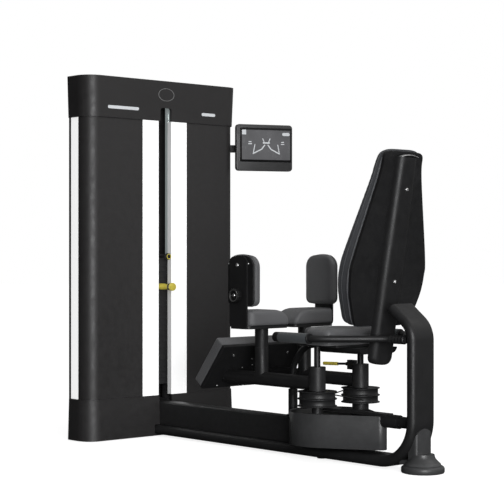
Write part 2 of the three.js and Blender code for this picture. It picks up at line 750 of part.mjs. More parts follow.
function backPlan(inset) {
  const bottom = BACK_OUTLINE[0];
  const top = BACK_OUTLINE[BACK_OUTLINE.length - 1];
  const crown = BACK_CROWN - inset;
  const plan = new THREE.Shape();
  plan.moveTo(bottom[0] + inset, -bottom[1] + 22);
  plan.lineTo(bottom[0] + inset, bottom[1] - 22);
  const foot = bottom[0] + inset;
  plan.quadraticCurveTo(foot, bottom[1] - inset, bottom[0] + 20, bottom[1] - inset + 4);
  plan.splineThru(BACK_OUTLINE.slice(1).map(([s, half]) => new THREE.Vector2(s, half - inset)));
  plan.quadraticCurveTo(crown, top[1] - inset, crown, top[1] - 45);
  plan.lineTo(crown, -top[1] + 45);
  plan.quadraticCurveTo(crown, -top[1] + inset, top[0], -top[1] + inset);
  const farSide = BACK_OUTLINE.slice(1, -1).reverse();
  plan.splineThru(farSide.map(([s, half]) => new THREE.Vector2(s, inset - half)));
  plan.lineTo(bottom[0] + 20, -bottom[1] + inset - 4);
  plan.quadraticCurveTo(foot, -bottom[1] + inset, foot, -bottom[1] + 22);
  return plan;
}

function addBack() {
  const board = SPINE_DEPTH + GAP;
  const cushion = board + BACK_BOARD + GAP;
  const front = polygon([
    [BACK_TAPER_START, cushion + BACK_CUSHION],
    [BACK_CROWN, cushion + BACK_CUSHION_TOP],
    [BACK_CROWN + 10, cushion + 2 * BACK_CUSHION],
  ]);
  const slab = prismZ(backPlan(0), cushion, cushion + BACK_CUSHION, 5);
  add("spine_channel", backPlace(spineChannel()), powderCoat);
  add("back_board", backPlace(prismZ(backPlan(8), board, board + BACK_BOARD, 5)), darkPlastic);
  add("back_cushion", backPlace(cut(slab, prismY(front, -300, 300))), upholstery);
}

function addHandlebar(side) {
  const y = side * GRIP_Y;
  const line = new THREE.CatmullRomCurve3(
    [
      new THREE.Vector3(GRIP_FRONT + 12, y, BAR_Z),
      new THREE.Vector3(GRIP_REAR - 30, y, BAR_Z),
      new THREE.Vector3(GRIP_REAR + 20, side * 232, BAR_Z),
      new THREE.Vector3(1250, side * 148, BAR_Z),
      new THREE.Vector3(1310, side * 78, BAR_Z),
      new THREE.Vector3(1350, side * 46, BAR_Z),
      new THREE.Vector3(UPRIGHT_X - 14, side * 42, BAR_Z),
    ],
    false,
    "centripetal",
  ).getPoints(22);
  const bar = sweep(circle(BAR_RADIUS), line, 4);
  const mount = rod([1345, side * 45, BAR_Z], [UPRIGHT_X - 14, side * 42, BAR_Z], 16);
  const upright = sweep(ovalTube(GAP), frameLine());
  const whole = cut(join(bar, mount), upright, halfBeyond(side));
  add(`handlebar_${sideName(side)}`, largest(whole), powderCoat);

  const grip = rod([GRIP_FRONT, y, BAR_Z], [GRIP_REAR, y, BAR_Z], GRIP_RADIUS);
  const bore = sweep(circle(BAR_RADIUS + 0.4), line, 4);
  add(`grip_${sideName(side)}`, cut(grip, bore), rubber);
}

// The other half of the machine, so that a mirrored pair can't meet across its middle.
function halfBeyond(side) {
  return block([0, 2000], span(-side, -GAP / 2, 400), [0, 1600]);
}

// ----------------------------------------------------------------------- arms
// The leg board's cross-section in X-Z, larger than the board by grow on every side.
function boardSection(grow) {
  const top = new THREE.Vector2(...BOARD_TOP);
  const along = new THREE.Vector2(...BOARD_BOTTOM).sub(top).normalize();
  const out = new THREE.Vector2(along.y, -along.x);
  const bottom = new THREE.Vector2(...BOARD_BOTTOM).addScaledVector(along, grow);
  top.addScaledVector(along, -grow);
  const corner = (point, depth) => point.clone().addScaledVector(out, depth);
  return new THREE.Shape([
    corner(top, -grow),
    corner(bottom, -grow),
    corner(bottom, BOARD_THICK + grow),
    corner(top, BOARD_THICK + grow),
  ]);
}

function addArm(side) {
  const y = side * ARM_Y;
  const name = sideName(side);
  const hub = rod([HUB_X, y, HUB_LOW], [HUB_X, y, HUB_HIGH], HUB_RADIUS);
  const tube = rod([HUB_X, y, ARM_Z], [525, y, ARM_Z], ARM_RADIUS);
  const post = rod([POST_X, y, ARM_Z], [POST_X, y, POST_SEAM - GAP], ARM_RADIUS);
  const pieces = [tube, post];
  if (side > 0) pieces.push(leverLug(y));
  const board = prismY(boardSection(GAP), ...span(side, 1, BOARD_OUTER));
  const bore = rod([HUB_X, y, HUB_LOW - 5], [HUB_X, y, HUB_HIGH + 5], BORE_RADIUS);
  const socket = rod([POST_X, y, 355], [POST_X, y, POST_SEAM + 5], SPIGOT_RADIUS + 0.4);
  add(`arm_${name}`, cut(join(hub, ...pieces), board, bore, socket), powderCoat);

  const panel = prismY(boardSection(0), ...span(side, 1, BOARD_OUTER));
  add(`leg_board_${name}`, panel, upholstery);
}

function addHubWheel(side) {
  const low = WHEEL_LOW;
  const rim = WHEEL_RADIUS;
  const groove = WHEEL_RADIUS - 9;
  const profile = [
    [BORE_RADIUS, low],
    [rim, low],
    [rim, low + 4],
    [groove, low + 13],
    [groove, low + 16],
    [rim, low + 25],
    [rim, low + 31],
    [groove, low + 40],
    [groove, low + 43],
    [rim, low + 52],
    [rim, low + 56],
    [BORE_RADIUS, low + 56],
    [BORE_RADIUS, low],
  ];
  add(`hub_wheel_${sideName(side)}`, turned(profile, HUB_X, side * ARM_Y, 30), steel);
}

function addAxle(side) {
  const y = side * ARM_Y;
  const low = DRUM_HIGH + GAP;
  const shaft = rod([HUB_X, y, low], [HUB_X, y, SEAT_LOW - 8 - 2 * GAP], AXLE_RADIUS);
  const collar = rod([HUB_X, y, low], [HUB_X, y, WHEEL_LOW - GAP], side > 0 ? HUB_RADIUS : 20);
  add(`axle_${sideName(side)}`, join(shaft, collar), steel);
}

function leverLug(y) {
  return block([LEVER_X + 4, HUB_X - 26], [y - 9, y + 9], [LEVER_Z - 20, LEVER_Z + 16]);
}

function addRangeLever() {
  const y = ARM_Y;
  const z = LEVER_Z;
  const handle = rod([LEVER_TIP, y, z - 4], [LEVER_TIP + 76, y, z - 2], 5, 16);
  const bar = rod([LEVER_TIP + 72, y, z - 2], [LEVER_X, y, z], 3, 12);
  const eye = rod([LEVER_X - 4, y - 5, z], [LEVER_X - 4, y + 5, z], 7, 20);
  add("range_lever", join(handle, bar, eye), yellow);
}

function addCarrier(side) {
  const y = side * ARM_Y;
  const post = rod([POST_X, y, POST_SEAM], [POST_X, y, CARRIER_PLATE_LOW + 1], ARM_RADIUS);
  const spigot = rod([POST_X, y, 357], [POST_X, y, POST_SEAM + 1], SPIGOT_RADIUS);
  const plan = roundedRect([PAD_X - 55, PAD_X + 55], span(side, PAD_INNER + 3, WING_OUTER - 1), 20);
  const plate = prismZ(plan, CARRIER_PLATE_LOW, THIGH_LOW - GAP, 4);
  const wingLength = [PAD_X - WING_HALF, PAD_X + WING_HALF];
  const wingFace = roundedRect(wingLength, [CARRIER_PLATE_LOW, WING_TOP], 24);
  const wing = prismY(wingFace, ...span(side, WING_INNER, WING_OUTER), 5);
  add(`pad_carrier_${sideName(side)}`, join(post, spigot, plate, wing), powderCoat);
}

function addPads(side) {
  const name = sideName(side);
  const length = [PAD_X - PAD_HALF_LENGTH, PAD_X + PAD_HALF_LENGTH];
  const thighPlan = roundedRect(length, span(side, PAD_INNER, PAD_OUTER), 34);
  add(`thigh_pad_${name}`, prismZ(thighPlan, THIGH_LOW, THIGH_HIGH, 5), upholstery);
  const kneeFace = roundedRect([KNEE_FRONT, KNEE_REAR], [KNEE_LOW, KNEE_HIGH], 34);
  const knee = prismY(kneeFace, ...span(side, KNEE_INNER, PAD_OUTER + 1), 5);
  add(`knee_pad_${name}`, knee, upholstery);

  const knobStart = side * (WING_OUTER + GAP);
  const at = (reach) => [POST_X, knobStart + side * reach, KNOB_Z];
  const foot = rod(at(0), at(8), 14);
  const head = rod(at(7), at(30), KNOB_RADIUS);
  add(`pad_knob_${name}`, join(foot, head), rubber);
}

// -------------------------------------------------------------------- display
function addDisplay() {
  const [x, y] = SWIVEL;
  const root = TOWER_HALF + GAP;
  const armPlan = polygon([[-112, root], [-76, root], [x + 11, y - 12], [x - 10, y + 12]]);
  const arm = prismZ(armPlan, SWIVEL_LOW, SWIVEL_HIGH);
  const knuckle = rod([x, y, SWIVEL_LOW], [x, y, SWIVEL_HIGH], 16);
  const bore = rod([x, y, SWIVEL_LOW - 1], [x, y, SWIVEL_HIGH + 1], 8.4);
  add("display_bracket", cut(join(arm, knuckle), bore), powderCoat);

  const [depth, width, height] = DISPLAY_SIZE;
  const face = roundedRect([-width / 2, width / 2], [-height / 2, height / 2], 12);
  const shell = prismX(face, -depth / 2, depth / 2, 4);
  shell.rotateZ(DISPLAY_TURN).translate(...DISPLAY_CENTRE);
  const lugs = [SWIVEL_LOW - 12, SWIVEL_HIGH + 0.4].map((z) => {
    const plan = block([-14, 30], [-14, 14], [z, z + 11.6]);
    return plan.rotateZ(DISPLAY_TURN).translate(x, y, 0);
  });
  const pin = rod([x, y, SWIVEL_LOW - 8], [x, y, SWIVEL_HIGH + 8], 8);
  add("display_case", join(shell, ...lugs, pin), darkPlastic);
}

// ------------------------------------------------------------------ the whole
addTowerCovers();
addTowerShells();
addTowerFrame();
addCablePulleys();
addCable();
addStack();
addGuides();
addMainFrame();
addFeet();
addCableCover();
addDrumShroud();
addRearTube();
addSeat();
addStrut();
addBack();
for (const side of [-1, 1]) {
  addHandlebar(side);
  addArm(side);
  addHubWheel(side);
  addAxle(side);
  addCarrier(side);
  addPads(side);
}
addRangeLever();
addDisplay();

// The finished part's origin is on the floor under the middle of the tower.
machine.position.x = TOWER_DEPTH / 2;

export default machine;
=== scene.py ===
"""The looks of the hip abductor machine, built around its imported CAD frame.

Metres, +Z up.  +X runs from the weight tower to the seat, and left is the -Y side.
"""

import math

import bmesh
import bpy
from mathutils import Matrix, Vector, kdtree


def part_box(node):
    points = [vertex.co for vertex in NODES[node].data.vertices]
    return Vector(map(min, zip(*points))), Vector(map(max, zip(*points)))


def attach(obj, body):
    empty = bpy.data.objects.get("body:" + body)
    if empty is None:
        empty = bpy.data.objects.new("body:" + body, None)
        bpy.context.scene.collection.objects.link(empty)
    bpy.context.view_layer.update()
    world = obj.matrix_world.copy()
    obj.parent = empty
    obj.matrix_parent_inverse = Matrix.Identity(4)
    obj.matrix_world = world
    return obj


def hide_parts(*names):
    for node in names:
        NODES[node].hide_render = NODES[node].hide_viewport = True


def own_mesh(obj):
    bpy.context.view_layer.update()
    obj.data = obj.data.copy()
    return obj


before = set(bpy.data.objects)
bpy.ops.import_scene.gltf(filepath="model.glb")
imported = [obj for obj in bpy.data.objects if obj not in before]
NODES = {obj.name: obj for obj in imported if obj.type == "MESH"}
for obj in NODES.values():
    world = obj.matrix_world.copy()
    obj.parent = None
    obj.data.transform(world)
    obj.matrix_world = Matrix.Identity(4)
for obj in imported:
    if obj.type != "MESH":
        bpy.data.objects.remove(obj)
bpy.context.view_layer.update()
MM = 0.001
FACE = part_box("front_strip_left")[1].x  # the tower's front face
X, Y, Z = Vector((1, 0, 0)), Vector((0, 1, 0)), Vector((0, 0, 1))
SIDES = ((-1, "left"), (1, "right"))


def at(x, y, z):
    """A point given in millimetres from the tower's front face."""
    return Vector((FACE + x * MM, y * MM, z * MM))


def limits(node):
    """A node's box in millimetres: along X from the tower's face, across by distance from the middle, up."""
    low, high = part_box(node)
    across = sorted((abs(low.y) / MM, abs(high.y) / MM))
    return ((low.x - FACE) / MM, (high.x - FACE) / MM), across, (low.z / MM, high.z / MM)


def outer_face(node, side):
    """Where a node's box ends across, on the given side."""
    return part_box(node)[0 if side < 0 else 1].y


# The backrest leans back from here.
BACK_TILT = math.radians(10.1)
BACK_UP = Vector((math.sin(BACK_TILT), 0, math.cos(BACK_TILT)))
BACK_OUT = Vector((-math.cos(BACK_TILT), 0, math.sin(BACK_TILT)))
BACK_AT = at(1329, 0, 676)


def back_place(s, y, depth):
    """A point up the backrest, across it and forward of its spine, in millimetres."""
    return BACK_AT + BACK_UP * (s * MM) + Y * (y * MM) + BACK_OUT * (depth * MM)


# ------------------------------------------------------------------ materials
def new_node(tree, kind, **values):
    node = tree.nodes.new(kind)
    for key, value in values.items():
        node.inputs[key.replace("_", " ")].default_value = value
    return node


def ranged(tree, source, low, high, from_low=0.3, from_high=0.7):
    """The source's values mapped to low..high."""
    node = new_node(
        tree, "ShaderNodeMapRange", From_Min=from_low, From_Max=from_high, To_Min=low, To_Max=high
    )
    tree.links.new(source, node.inputs["Value"])
    return node.outputs["Result"]


def stretched(tree, coordinates, scale):
    node = new_node(tree, "ShaderNodeMapping")
    node.inputs["Scale"].default_value = scale
    tree.links.new(coordinates, node.inputs["Vector"])
    return node.outputs["Vector"]


def noise_of(tree, coordinates, scale, detail=3.0, rough=0.55):
    node = new_node(tree, "ShaderNodeTexNoise", Scale=scale, Detail=detail, Roughness=rough)
    tree.links.new(coordinates, node.inputs["Vector"])
    return node.outputs["Fac"]


def product_of(tree, first, second):
    node = tree.nodes.new("ShaderNodeMath")
    node.operation = "MULTIPLY"
    tree.links.new(first, node.inputs[0])
    tree.links.new(second, node.inputs[1])
    return node.outputs["Value"]


def along_axis(tree, direction, axis):
    """How far a direction points along an axis."""
    node = tree.nodes.new("ShaderNodeVectorMath")
    node.operation = "DOT_PRODUCT"
    tree.links.new(direction, node.inputs[0])
    node.inputs[1].default_value = axis
    return node.outputs["Value"]


def relief_of(tree, coordinates, kind):
    """The height pattern of a kind of surface, with how strong and how deep it is."""
    if kind == "peel":
        return noise_of(tree, coordinates, 420, 2), 0.25, 0.0006
    if kind == "grain":
        return noise_of(tree, coordinates, 900, 4, 0.7), 0.35, 0.0005
    if kind == "cast":
        return noise_of(tree, coordinates, 260, 6, 0.65), 0.5, 0.0012
    if kind == "brushed":
        lines = stretched(tree, coordinates, (60, 60, 2400))
        return noise_of(tree, lines, 1, 2), 0.2, 0.0003
    if kind == "knurled":
        knurls = new_node(tree, "ShaderNodeTexVoronoi", Scale=420)
        tree.links.new(coordinates, knurls.inputs["Vector"])
        return knurls.outputs["Distance"], 0.6, 0.0010
    # Hide: the creases between bent cells.
    cells = new_node(tree, "ShaderNodeTexVoronoi", Scale=310)
    cells.feature = "DISTANCE_TO_EDGE"
    bent = tree.nodes.new("ShaderNodeVectorMath")
    bent.operation = "MULTIPLY_ADD"
    shift = new_node(tree, "ShaderNodeTexNoise", Scale=90, Detail=2)
    tree.links.new(coordinates, shift.inputs["Vector"])
    tree.links.new(shift.outputs["Color"], bent.inputs[0])
    bent.inputs[1].default_value = (0.006, 0.006, 0.006)
    tree.links.new(coordinates, bent.inputs[2])
    tree.links.new(bent.outputs["Vector"], cells.inputs["Vector"])
    return ranged(tree, cells.outputs["Distance"], 0, 1, 0, 0.2), 0.45, 0.0007


COLOR_A, COLOR_B, COLOR_RESULT = 6, 7, 2  # a mix node's colour sockets


def new_material(name):
    """A material with its node tree, its shader and the place on the object."""
    material = bpy.data.materials.new(name)
    material.use_nodes = True
    tree = material.node_tree
    place = tree.nodes.new("ShaderNodeTexCoord").outputs["Object"]
    return material, tree, tree.nodes["Principled BSDF"], place


def surface(name, color, rough, metal=0.0, relief="grain", vary=0.10, wear=0.0, **extra):
    """A procedural material: mottled colour and roughness, fine relief and worn edges."""
    material, tree, shader, place = new_material(name)
    link = tree.links.new
    mottle = noise_of(tree, place, 7, 6, 0.6)
    tint = new_node(tree, "ShaderNodeHueSaturation", Color=(*color, 1))
    link(ranged(tree, mottle, 1 - vary, 1 + vary), tint.inputs["Value"])
    colored = tint.outputs["Color"]
    if wear:
        edge = tree.nodes.new("ShaderNodeNewGeometry").outputs["Pointiness"]
        patches = ranged(tree, noise_of(tree, place, 55, 5, 0.7), 0.2, 1)
        scuff = product_of(tree, ranged(tree, edge, 0, wear, 0.52, 0.60), patches)
        mix = new_node(tree, "ShaderNodeMix")
        mix.data_type = "RGBA"
        link(scuff, mix.inputs[0])
        link(colored, mix.inputs[COLOR_A])
        mix.inputs[COLOR_B].default_value = (*[min(1.0, c * 2.2 + 0.03) for c in color], 1)
        colored = mix.outputs[COLOR_RESULT]
    link(colored, shader.inputs["Base Color"])
    smudge = noise_of(tree, place, 28, 4, 0.6)
    link(ranged(tree, smudge, rough * 0.82, min(1.0, rough * 1.18)), shader.inputs["Roughness"])
    shader.inputs["Metallic"].default_value = metal
    height, strength, depth = relief_of(tree, place, relief)
    bump = new_node(tree, "ShaderNodeBump", Strength=strength, Distance=depth)
    link(height, bump.inputs["Height"])
    link(bump.outputs["Normal"], shader.inputs["Normal"])
    for key, value in extra.items():
        shader.inputs[key.replace("_", " ")].default_value = value
    return material


SHELL = surface("shell_plastic", (0.0245, 0.0233, 0.0236), 0.46, vary=0.05, wear=0.2)
# These two are one gloss white. Below, each gets painted light: a glow on its faces toward the front or
# toward the left side.
WHITE_PAINTED_GLOW = surface("gloss_white_painted_glow", (0.90, 0.91, 0.905), 0.14, relief="peel", vary=0.01, Coat_Weight=0.5)
SIDE_WHITE_PAINTED_GLOW = surface("side_gloss_white_painted_glow", (0.90, 0.91, 0.905), 0.14, relief="peel", vary=0.01)
COAT = surface("powder_coat", (0.013, 0.013, 0.0135), 0.44, relief="peel", wear=0.25,
               Specular_IOR_Level=0.36)
DARK = surface("black_plastic", (0.006, 0.006, 0.0065), 0.45, wear=0.2)
BOARD = surface("moulded_board", (0.009, 0.009, 0.0095), 0.55, wear=0.2, Specular_IOR_Level=0.3)
SATIN = surface("satin_grey", (0.040, 0.0405, 0.0415), 0.38, wear=0.25)
CHROME = surface("chrome", (0.80, 0.84, 0.85), 0.10, metal=1, relief="brushed", vary=0.03)
# The guide rods' chrome has a painted highlight: a faint glow that keeps them light inside the tower's slot,
# though they are no lamp.
ROD_PAINTED_GLOW = surface("guide_rod_chrome_painted_glow", (0.62, 0.68, 0.68), 0.2, metal=0.6, relief="brushed", vary=0.03,
              Emission_Color=(0.55, 0.62, 0.62, 1), Emission_Strength=0.25)
STEEL = surface("bright_steel", (0.75, 0.75, 0.75), 0.28, metal=1, relief="brushed", vary=0.08)
DULL = surface("dull_steel", (0.085, 0.085, 0.088), 0.40, metal=0.6, relief="brushed", wear=0.4)
IRON = surface("cast_iron", (0.020, 0.020, 0.021), 0.55, metal=0.3, relief="cast", wear=0.3)
RUBBER = surface("rubber", (0.010, 0.010, 0.011), 0.75)
KNURL = surface("knurled_plastic", (0.006, 0.006, 0.006), 0.45, relief="knurled")
GRIP = surface("grip_sleeve", (0.060, 0.067, 0.072), 0.42, relief="knurled", Sheen_Weight=0.15)
BACK_HIDE = surface("backrest_hide", (0.062, 0.064, 0.069), 0.44, relief="hide", wear=0.25)
HIDE = surface("upholstery", (0.122, 0.123, 0.127), 0.42, relief="hide", wear=0.25,
               Sheen_Weight=0.12, Sheen_Roughness=0.4)
YELLOW = surface("yellow_paint", (0.84, 0.70, 0.10), 0.35, relief="peel", vary=0.06, wear=0.2)
GLASS = surface("screen_border", (0.003, 0.003, 0.0035), 0.12, relief="peel")
RING = surface("header_ring", (0.24, 0.24, 0.24), 0.35, metal=0.2, relief="brushed", vary=0.05)
SATIN_DARK = surface("display_plastic", (0.045, 0.045, 0.046), 0.42, wear=0.2)
SCREEN = surface("screen", (0.07, 0.07, 0.073), 0.25, relief="peel", vary=0.35,
                 Emission_Color=(0.09, 0.09, 0.095, 1), Emission_Strength=0.6)
MARK = surface("screen_mark", (0.62, 0.64, 0.66), 0.4, relief="peel", vary=0.04,
               Emission_Color=(0.8, 0.82, 0.85, 1), Emission_Strength=0.22)


def painted_glow_on_faces(material, axis, strength, rest=0.0):
    """Paints light on a material: a soft glow on the faces that look along an axis, and the rest of it on the
    others, though the part is no lamp.
    """
    tree = material.node_tree
    normal = tree.nodes.new("ShaderNodeNewGeometry").outputs["True Normal"]
    glow = ranged(tree, along_axis(tree, normal, axis), rest, strength, 0.85, 0.97)
    shader = tree.nodes["Principled BSDF"]
    shader.inputs["Emission Color"].default_value = (1, 1, 1, 1)
    tree.links.new(glow, shader.inputs["Emission Strength"])


# Painted light: the front strips glow on their front faces and a little on the rest, such as the slot walls.
# The side strips glow on their left faces.
painted_glow_on_faces(WHITE_PAINTED_GLOW, (1, 0, 0), 0.6, 0.12)
painted_glow_on_faces(SIDE_WHITE_PAINTED_GLOW, (0, -1, 0), 0.6)


# ------------------------------------------------------------- mesh building
def loft(bm, rings, closed=False):
    """Joins rings of equal length into one skin, capped or closed on itself."""
    made = [[bm.verts.new(point) for point in ring] for ring in rings]
    count = len(made[0])
    for low, high in zip(made, made[1:] + (made[:1] if closed else [])):
        for i in range(count):
            j = (i + 1) % count
            bm.faces.new((low[i], low[j], high[j], high[i]))
    if not closed:
        bm.faces.new(list(reversed(made[0])))
        bm.faces.new(made[-1])


def circle(radius, sides=48):
    turn = 2 * math.pi / sides
    return [(radius * math.cos(i * turn), radius * math.sin(i * turn)) for i in range(sides)]


HEAD_SIDES = 24


def hexagon(radius):
    """A hexagon's outline with as many points as the rest of a screw's head."""
    points = []
    for x, y in circle(1, HEAD_SIDES):
        angle = math.atan2(y, x) % (math.pi / 3) - math.pi / 6
        reach = radius * math.cos(math.pi / 6) / math.cos(angle)
        points.append((x * reach, y * reach))
    return points


def stadium(half_thick, half_wide):
    """A flat oval with round ends at plus and minus half_wide of its second axis."""
    steps = 14
    points = []
    for end, start in ((1, 0), (-1, math.pi)):
        for i in range(steps + 1):
            angle = start + math.pi * i / steps
            points.append((
                half_thick * math.cos(angle),
                end * (half_wide - half_thick) + half_thick * math.sin(angle),
            ))
    return points


def rounded(low, high, radius, steps=6):
    """A rounded rectangle's outline between two corners; radius is one value or four."""
    radii = radius if isinstance(radius, tuple) else (radius,) * 4
    corners = (
        (high[0], high[1], -1, -1, 0),
        (low[0], high[1], 1, -1, 1),
        (low[0], low[1], 1, 1, 2),
        (high[0], low[1], -1, 1, 3),
    )
    points = []
    for (x, y, sx, sy, quarter), r in zip(corners, radii):
        for i in range(steps + 1):
            angle = math.pi / 2 * (quarter + i / steps)
            points.append((x + sx * r + r * math.cos(angle), y + sy * r + r * math.sin(angle)))
    return points


def basis(axis):
    """Two directions square to an axis."""
    side = Z if abs(axis.z) < 0.9 else X
    u = side.cross(axis).normalized()
    return u, axis.cross(u).normalized()


def ring(centre, u, v, shape):
    return [centre + u * a + v * b for a, b in shape]


def turned(bm, origin, axis, profile, sides=48, closed=False):
    """A profile of (radius, height) in millimetres, turned about an axis."""
    axis = axis.normalized()
    u, v = basis(axis)
    rings = [ring(origin + axis * (h * MM), u, v, circle(r * MM, sides)) for r, h in profile]
    loft(bm, rings, closed)


def dense(points):
    """A closed outline in millimetres with its long edges divided."""
    step = 9
    result = []
    for a, b in zip(points, points[1:] + points[:1]):
        count = max(1, math.ceil(math.dist(a, b) / step))
        for i in range(count):
            result.append((a[0] + (b[0] - a[0]) * i / count, a[1] + (b[1] - a[1]) * i / count))
    return result


def crowned(low, high, radius, crown):
    """A rounded rectangle whose top edge is an arch."""
    middle, half = (low[0] + high[0]) / 2, (high[0] - low[0]) / 2
    points = []
    for x, z in dense(rounded(low, (high[0], high[1] - crown), radius, 8)):
        share = max(0.0, (z - low[1]) / (high[1] - crown - low[1]))
        points.append((x, z + crown * (1 - ((x - middle) / half) ** 2) * share ** 2))
    return points


def rod(bm, start, end, radius, ease=1.0, sides=32):
    """A round bar with eased ends; radius and ease in millimetres."""
    length = (end - start).length / MM
    profile = ((radius - ease, 0), (radius, ease), (radius, length - ease), (radius - ease, length))
    turned(bm, start, end - start, profile, sides)


def pipe(bm, points, shape, hint=Y):
    """A section swept along points without twisting; the section's second axis starts at hint."""
    v = hint
    last = len(points) - 1
    rings = []
    for i, point in enumerate(points):
        ahead = (points[min(i + 1, last)] - points[max(i - 1, 0)]).normalized()
        v = (v - ahead * v.dot(ahead)).normalized()
        rings.append(ring(point, v.cross(ahead), v, shape))
    loft(bm, rings)


def curve_through(points, steps=10, closed=False):
    """A smooth curve through points."""
    count = len(points)
    result = []
    for i in range(count if closed else count - 1):
        near = range(i - 1, i + 3)
        p = [points[j % count if closed else min(max(j, 0), count - 1)] for j in near]
        result += [spline_point(p, s / steps) for s in range(steps)]
    return result if closed else result + [points[-1]]


def spline_point(p, share):
    """A centripetal Catmull-Rom point between p[1] and p[2]."""
    knots = [0.0]
    for a, b in zip(p, p[1:]):
        knots.append(knots[-1] + max((b - a).length ** 0.5, 1e-4))
    t = knots[1] + (knots[2] - knots[1]) * share

    def between(a, b, low, high):
        return a.lerp(b, (t - knots[low]) / (knots[high] - knots[low]))

    first = [between(p[i], p[i + 1], i, i + 1) for i in range(3)]
    second = [between(first[i], first[i + 1], i, i + 2) for i in range(2)]
    return between(second[0], second[1], 1, 2)


def arc(centre, radius, start, end, steps):
    """Points of an arc in the X-Z plane, in millimetres and degrees."""
    points = []
    for i in range(steps + 1):
        angle = math.radians(start + (end - start) * i / steps)
        points.append(at(centre[0] + radius * math.cos(angle), 0, centre[1] + radius * math.sin(angle)))
    return points


def mesh_of(name, bm, *materials):
    """A mesh with outward faces; the mesh being built is used up."""
    bmesh.ops.recalc_face_normals(bm, faces=bm.faces)
    mesh = bpy.data.meshes.new(name)
    bm.to_mesh(mesh)
    bm.free()
    for material in materials:
        mesh.materials.append(material)
    return mesh


def placed(name, data):
    """A new object of the scene that shows a mesh, a light or a camera."""
    obj = bpy.data.objects.new(name, data)
    bpy.context.scene.collection.objects.link(obj)
    return obj


def shaded_smooth(mesh):
    mesh.polygons.foreach_set("use_smooth", [True] * len(mesh.polygons))


SHARP = math.radians(38)  # edges bent by more than this stay sharp


def piece(name, bm, material, body, stands_for=(), parts=()):
    """Makes a shaded object of a mesh and rides it on its body."""
    mesh = mesh_of(name, bm, material, *parts)
    shaded_smooth(mesh)
    mesh.set_sharp_from_angle(angle=SHARP)
    obj = placed(name, mesh)
    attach(obj, body)
    if stands_for:
        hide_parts(*stands_for)
    return obj


def tagged(bm, index, build, *args, **values):
    """Runs a build step and gives the faces it adds a material index."""
    before = set(bm.faces)
    build(bm, *args, **values)
    for face in bm.faces:
        if face not in before:
            face.material_index = index


def screw(bm, place, axis, radius=7.0):
    """A button-head screw with a hexagonal socket."""
    axis = axis.normalized()
    u, v = basis(axis)
    r = radius * MM
    rim = ((1, -0.25), (1, 0.25), (0.86, 0.48), (0.6, 0.6))
    outline = [(circle(r * share, HEAD_SIDES), h) for share, h in rim]
    outline += [(hexagon(r * share), h) for share, h in ((0.46, 0.6), (0.44, 0.18))]
    loft(bm, [ring(place + axis * (r * h), u, v, shape) for shape, h in outline])


# ------------------------------------------------------------- carried-over nodes
BOTH = ("left", "right")
CARRIED = (  # material, edge width in millimetres, nodes
    (SHELL, 1.6, ["plinth_cover", "header_cover", "rear_cover", *("front_shell_" + s for s in BOTH)]),
    (SIDE_WHITE_PAINTED_GLOW, 1.0, ["side_strip_" + s for s in BOTH]),
    (WHITE_PAINTED_GLOW, 1.0, ["front_strip_" + s for s in BOTH]),
    (DULL, 0.8, ["base_plate"]),
    (DARK, 1.0, ["top_pulley", "base_pulley"]),
    (IRON, 0.6, ["resting_plates", "lifted_plates", "head_plate"]),
    (CHROME, 0.6, ["selector_rod"]),
    (ROD_PAINTED_GLOW, 0.6, ["guide_rod_" + s for s in BOTH]),
    (RUBBER, 0.8, ["rail_glide", *("bumper_" + s for s in BOTH)]),
    (BOARD, 2.0, ["back_board"]),
    (SATIN, 2.0, ["foot_shoe"]),
    (COAT, 1.2, [
        "tower_frame", "rear_tube", "display_bracket",
        *(kind + s for kind in ("axle_", "arm_", "pad_carrier_") for s in BOTH),
    ]),
)
NO_BEVEL = {"arm_left", "arm_right", "foot_shoe", "tower_frame"}
SAME_POINT = 1e-5


def carry(name, material, width):
    """Gives a CAD node its material, eased edges and smooth shading; its mesh stays as it is."""
    obj = NODES[name]
    mesh = obj.data
    mesh.materials.clear()
    mesh.materials.append(material)
    if "custom_normal" in mesh.attributes:
        mesh.attributes.remove(mesh.attributes["custom_normal"])
    shaded_smooth(mesh)
    weld = obj.modifiers.new("weld", "WELD")
    weld.merge_threshold = SAME_POINT
    if name in NO_BEVEL:
        split = obj.modifiers.new("split", "EDGE_SPLIT")
        split.split_angle = math.radians(35)
        return
    bevel = obj.modifiers.new("bevel", "BEVEL")
    bevel.width = width * MM
    bevel.segments = 2
    bevel.limit_method = "ANGLE"
    bevel.angle_limit = SHARP
    normals = obj.modifiers.new("normals", "WEIGHTED_NORMAL")
    normals.keep_sharp = True


for look, edge_width, node_names in CARRIED:
    for node_name in node_names:
        carry(node_name, look, edge_width)


# ----------------------------------------------------------------- main frame
TUBE_WIDE, TUBE_THICK = 122, 40
RAIL_Z = 28
UPRIGHT_X = 1452
LOWER_BEND, UPPER_BEND = 155, 85
UPPER_START, UPPER_TURN = 465, 53
HEAD_LENGTH = 76
HEAD_ABOVE = 0.4  # only the head lies higher than this
JOINT_GAP = 0.0004


def frame_path():
    """The line of the C-shaped tube, from the tower to its head behind the backrest."""
    centre = (UPRIGHT_X - UPPER_BEND, UPPER_START)
    lower = arc((UPRIGHT_X - LOWER_BEND, RAIL_Z + LOWER_BEND), LOWER_BEND, -90, 0, 28)
    upper = arc(centre, UPPER_BEND, 0, UPPER_TURN, 18)
    turn = math.radians(UPPER_TURN)
    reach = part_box("main_frame")[0].x
    head = upper[-1] + Vector((-math.sin(turn), 0, math.cos(turn))) * (HEAD_LENGTH * MM)
    return [Vector((reach, 0, RAIL_Z * MM)), *lower, *upper, head]


